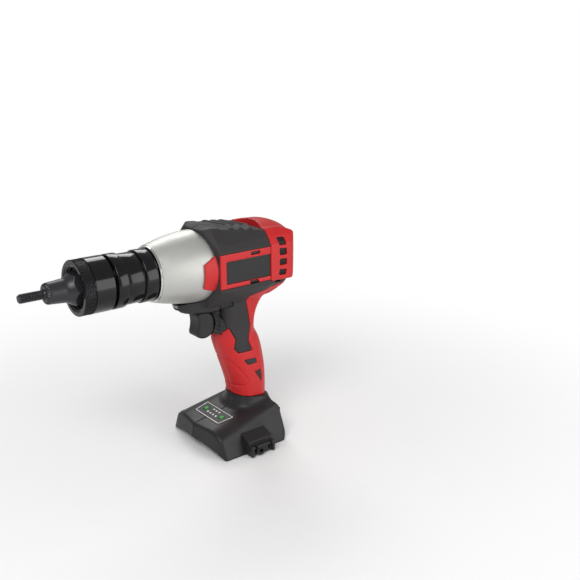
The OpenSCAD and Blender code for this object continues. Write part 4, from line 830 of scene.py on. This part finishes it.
# Bare label plates in their red frames.
# Thin black plates, stuck into a recess on each side of the motor housing, with a fine raised border
# and no print.
plate_mid = (-2.6, 180.0)
plate_half = (24.4, 10.5)
(flat_x, flat_y, flat_z), (x, y, z) = grid((-27.1, 35.6, 169.4), (21.9, 37.4, 190.6), 0.35)
edge = round_max(np.abs(x - plate_mid[0]) - plate_half[0], np.abs(z - plate_mid[1]) - plate_half[1], 0.5)
border = rise(0.5 - np.abs(edge + 1.2), 0, 0.25)
plate = round_max(edge, np.maximum(y - 36.75 - 0.12 * border, 35.9 - y), 0.12)
points, faces = both_sides(*skin(plate, (flat_x, flat_y, flat_z)))
label_black = worked_finish("label_plate", paint(34, 34, 34), 0.45, drift=0.1, patch=25.0, grain=700.0,
                            depth=0.05)
surface_piece("label_plates_looks", points, faces, label_black, "tool_body",
              ["label_plates"])

# Black inlays in the lower handle.
# Two rubber patches a side, moulded into shallow beds in the red shell.
(flat_x, flat_y, flat_z), (x, y, z) = grid((-31, 8, 54), (-7, 20, 85), 0.4)
form = housing_form(x, y, z, flat_x, flat_y, flat_z)
patch = np.minimum(*(side_field(line, flat_x, flat_z) for line in inlay_outlines))
inlay = round_max(np.maximum(form + 0.12, -1.4 - form), patch, 0.4)
points, faces = both_sides(*skin(inlay, (flat_x, flat_y, flat_z)))
surface_piece("handle_inlays_looks", points, faces, rubber, "tool_body", ["handle_inlays"])

# Control panel on the foot.
# A thin glossy plate on the sloped top with a pale printed outline and rows of plain pale marks; two
# green keys stand through it.
mark_pitch = 4.6
mark_rows = [(-3.4, 3), (2.6, 4)]
key_r = 2.85
key_flutes = 10
(flat_x, flat_y, flat_z), (x, y, z) = grid((7, -23.6, 25), (26.6, 23.6, 31.5), 0.3)
along, above = panel_frame(x, z)
edge = round_max(np.abs(along - panel_shift) - panel_length / 2, np.abs(y) - panel_half(along), 1.6)
holes = 3.15 - np.hypot(along, np.abs(y) - key_y)
sheet = np.maximum(round_max(edge, np.maximum(above + 0.05, -0.7 - above), 0.1), holes)
points, faces = skin(sheet, (flat_x, flat_y, flat_z))
panel_gloss = worked_finish("panel_gloss", paint(12, 12, 13), 0.3, drift=0.08, depth=0.03, gloss=0.15)
surface_piece("control_panel_looks", points, faces, panel_gloss, "tool_body",
              ["control_panel"])
line = np.maximum(np.maximum(np.abs(edge + 0.75) - 0.55, above - 0.1), -0.2 - above)
marks = np.full(line.shape, outside)
for row, count in mark_rows:
    for k in range(count):
        spot = mark_pitch * (k - (count - 1) / 2)
        marks = np.minimum(marks, round_max(np.abs(along - row) - 1.1, np.abs(y - spot) - 1.2, 0.5))
line = np.minimum(line, np.maximum(np.maximum(marks, above - 0.1), -0.2 - above))
points, faces = skin(line, (flat_x, flat_y, flat_z))
pale_print = worked_finish("pale_print", paint(222, 224, 222), 0.5, drift=0.04)
surface_piece("panel_print", points, faces, pale_print, "tool_body")
key_green = worked_finish("key_green", paint(52, 138, 56), 0.4, drift=0.1, depth=0.05)
for title, body, side in (("light_key", "light_button", -1), ("mode_key", "mode_button", 1)):
    key_mid = side * key_y
    (flat_x, flat_y, flat_z), (x, y, z) = grid((12.5, key_mid - 4, 24), (20.5, key_mid + 4, 31), 0.22)
    along, above = panel_frame(x, z)
    across = y - key_mid
    reach = np.hypot(along, across)
    flute = 0.16 * np.cos(key_flutes * np.arctan2(across, along)) * rise(reach, 1.0, 2.6)
    dome = above - 0.68 + 0.045 * reach ** 2 + 0.6 * flute
    key = round_max(round_max(reach - key_r + 0.6 * flute, dome, 0.4), -2.0 - above, 0.3)
    points, faces = skin(key, (flat_x, flat_y, flat_z))
    surface_piece(f"{title}_looks", points, faces, key_green, body, [title])

# Belt-hook block on the left of the foot.
# A nylon block moulded on the foot's side, hollowed from below round a steel insert that takes the
# belt hook's screw.
hook_x = 1.0
hook_z = 5.4
hook_mid_x = -2.0
hook_half = 13.8
hook_low = 0.6
boss_r = 4.6
insert_r = 3.25
(flat_x, flat_y, flat_z), (x, y, z) = grid((-16, 38, 0.4), (12, 57.6, 19.8), 0.4)
off = np.abs(x - hook_mid_x)
ends = off - hook_half
ledge_top = np.maximum(hook_low - z, z - 17.0 + 0.35 * (y - 46))
ledge = round_max(round_max(ends, y - 52.3, 1.0), ledge_top, 0.8)
outer = round_max(round_max(ends, y - 57.4, 1.2), np.maximum(hook_low - z, z - 11.4), 0.9)
# The block starts just outside the leaning side of the foot.
beside = ((y - 46.8) * 29.5 + (z - 1.5) * 13.2) / 32.3
block = np.maximum(np.minimum(ledge, outer), 0.05 - beside)
boss = np.hypot(x - hook_x, z - hook_z)
hollow = np.maximum(np.maximum(ends + 3.0, 54.5 - y), z - 9.4)
block = np.maximum(block, -np.maximum(hollow, boss_r - boss))
notch = np.maximum(np.abs(off - 8.6) - 1.1, np.maximum(52.4 - y, 3.0 - z))
block = np.maximum(np.maximum(block, -notch), insert_r - np.where(y > 49.4, boss, outside))
points, faces = skin(block, (flat_x, flat_y, flat_z))
surface_piece("hook_block_looks", points, faces, foot_plastic, "tool_body", ["hook_block"])

# Studio: a pale floor, soft light and the camera.
# The floor and the surround read as white to the eye and through clear plastic, and the floor keeps
# the shadow under the tool.
scene = bpy.context.scene
scene.view_settings.view_transform = "Standard"
camera_data = bpy.data.cameras.new("photo_camera")
camera_data.lens = 49.26
camera_data.sensor_width = 36.0
camera = bpy.data.objects.new("photo_camera", camera_data)
camera.location = (0.4029, 0.6041, 0.3763)
camera.rotation_euler = (math.radians(72.75), 0, math.radians(141.38))
scene.collection.objects.link(camera)
scene.camera = camera

world = bpy.data.worlds.new("studio_surround")
scene.world = world
world.use_nodes = True
surround = world.node_tree.nodes["Background"]
surround.inputs["Color"].default_value = (1, 1, 1, 1)
ray = world.node_tree.nodes.new("ShaderNodeLightPath")
seen = world.node_tree.nodes.new("ShaderNodeMath")
seen.operation = "MAXIMUM"
world.node_tree.links.new(ray.outputs["Is Camera Ray"], seen.inputs[0])
world.node_tree.links.new(ray.outputs["Is Transmission Ray"], seen.inputs[1])
level = world.node_tree.nodes.new("ShaderNodeMapRange")
level.inputs["To Min"].default_value = 0.38
level.inputs["To Max"].default_value = 1.0
world.node_tree.links.new(seen.outputs[0], level.inputs["Value"])
world.node_tree.links.new(level.outputs["Result"], surround.inputs["Strength"])


def soft_light(name, place, aim, size, power):
    """Square soft box at a place, turned to its aim."""
    lamp = bpy.data.lights.new(name, "AREA")
    lamp.size = size
    lamp.energy = power
    box = bpy.data.objects.new(name, lamp)
    box.location = place
    to = np.array(aim) - np.array(place)
    tip = math.atan2(math.hypot(to[0], to[1]), -to[2])
    box.rotation_euler = (tip, 0, math.atan2(to[1], to[0]) - math.pi / 2)
    scene.collection.objects.link(box)


soft_light("key_light", (0.75, 0.55, 0.95), (0, 0, 0.12), 0.6, 7.6)
soft_light("fill_light", (-0.4, 0.96, 0.36), (0.08, 0, 0.17), 0.7, 4.8)
soft_light("rim_light", (-0.3, -0.8, 0.9), (0, 0, 0.15), 0.5, 4)

floor_mesh = bpy.data.meshes.new("studio_floor")
floor_half = 6.0
floor_z = -0.0004
corners = [(-floor_half, -floor_half), (floor_half, -floor_half), (floor_half, floor_half),
           (-floor_half, floor_half)]
floor_mesh.from_pydata([(*corner, floor_z) for corner in corners], [], [(0, 1, 2, 3)])
floor = bpy.data.objects.new("studio_floor", floor_mesh)
scene.collection.objects.link(floor)
pale_floor = worked_finish("pale_floor", paint(246, 246, 246), 0.8, drift=0.01)
floor_nodes = pale_floor.node_tree.nodes
floor_link = pale_floor.node_tree.links.new
far = floor_nodes.new("ShaderNodeVectorMath")
far.operation = "LENGTH"
floor_link(floor_nodes["Texture Coordinate"].outputs["Object"], far.inputs[0])
fade = floor_nodes.new("ShaderNodeMapRange")
fade.interpolation_type = "SMOOTHSTEP"
fade.inputs["From Min"].default_value = 0.1
fade.inputs["From Max"].default_value = 0.55
floor_link(far.outputs["Value"], fade.inputs["Value"])
floor_ray = floor_nodes.new("ShaderNodeLightPath")
looked_at = floor_nodes.new("ShaderNodeMath")
looked_at.operation = "MAXIMUM"
floor_link(floor_ray.outputs["Is Camera Ray"], looked_at.inputs[0])
floor_link(floor_ray.outputs["Is Transmission Ray"], looked_at.inputs[1])
share = floor_nodes.new("ShaderNodeMath")
share.operation = "MULTIPLY"
floor_link(fade.outputs["Result"], share.inputs[0])
floor_link(looked_at.outputs[0], share.inputs[1])
white = floor_nodes.new("ShaderNodeEmission")
melt = floor_nodes.new("ShaderNodeMixShader")
floor_link(share.outputs[0], melt.inputs["Fac"])
floor_link(floor_nodes["Principled BSDF"].outputs["BSDF"], melt.inputs[1])
floor_link(white.outputs["Emission"], melt.inputs[2])
floor_link(melt.outputs["Shader"], floor_nodes["Material Output"].inputs["Surface"])
floor_mesh.materials.append(pale_floor)
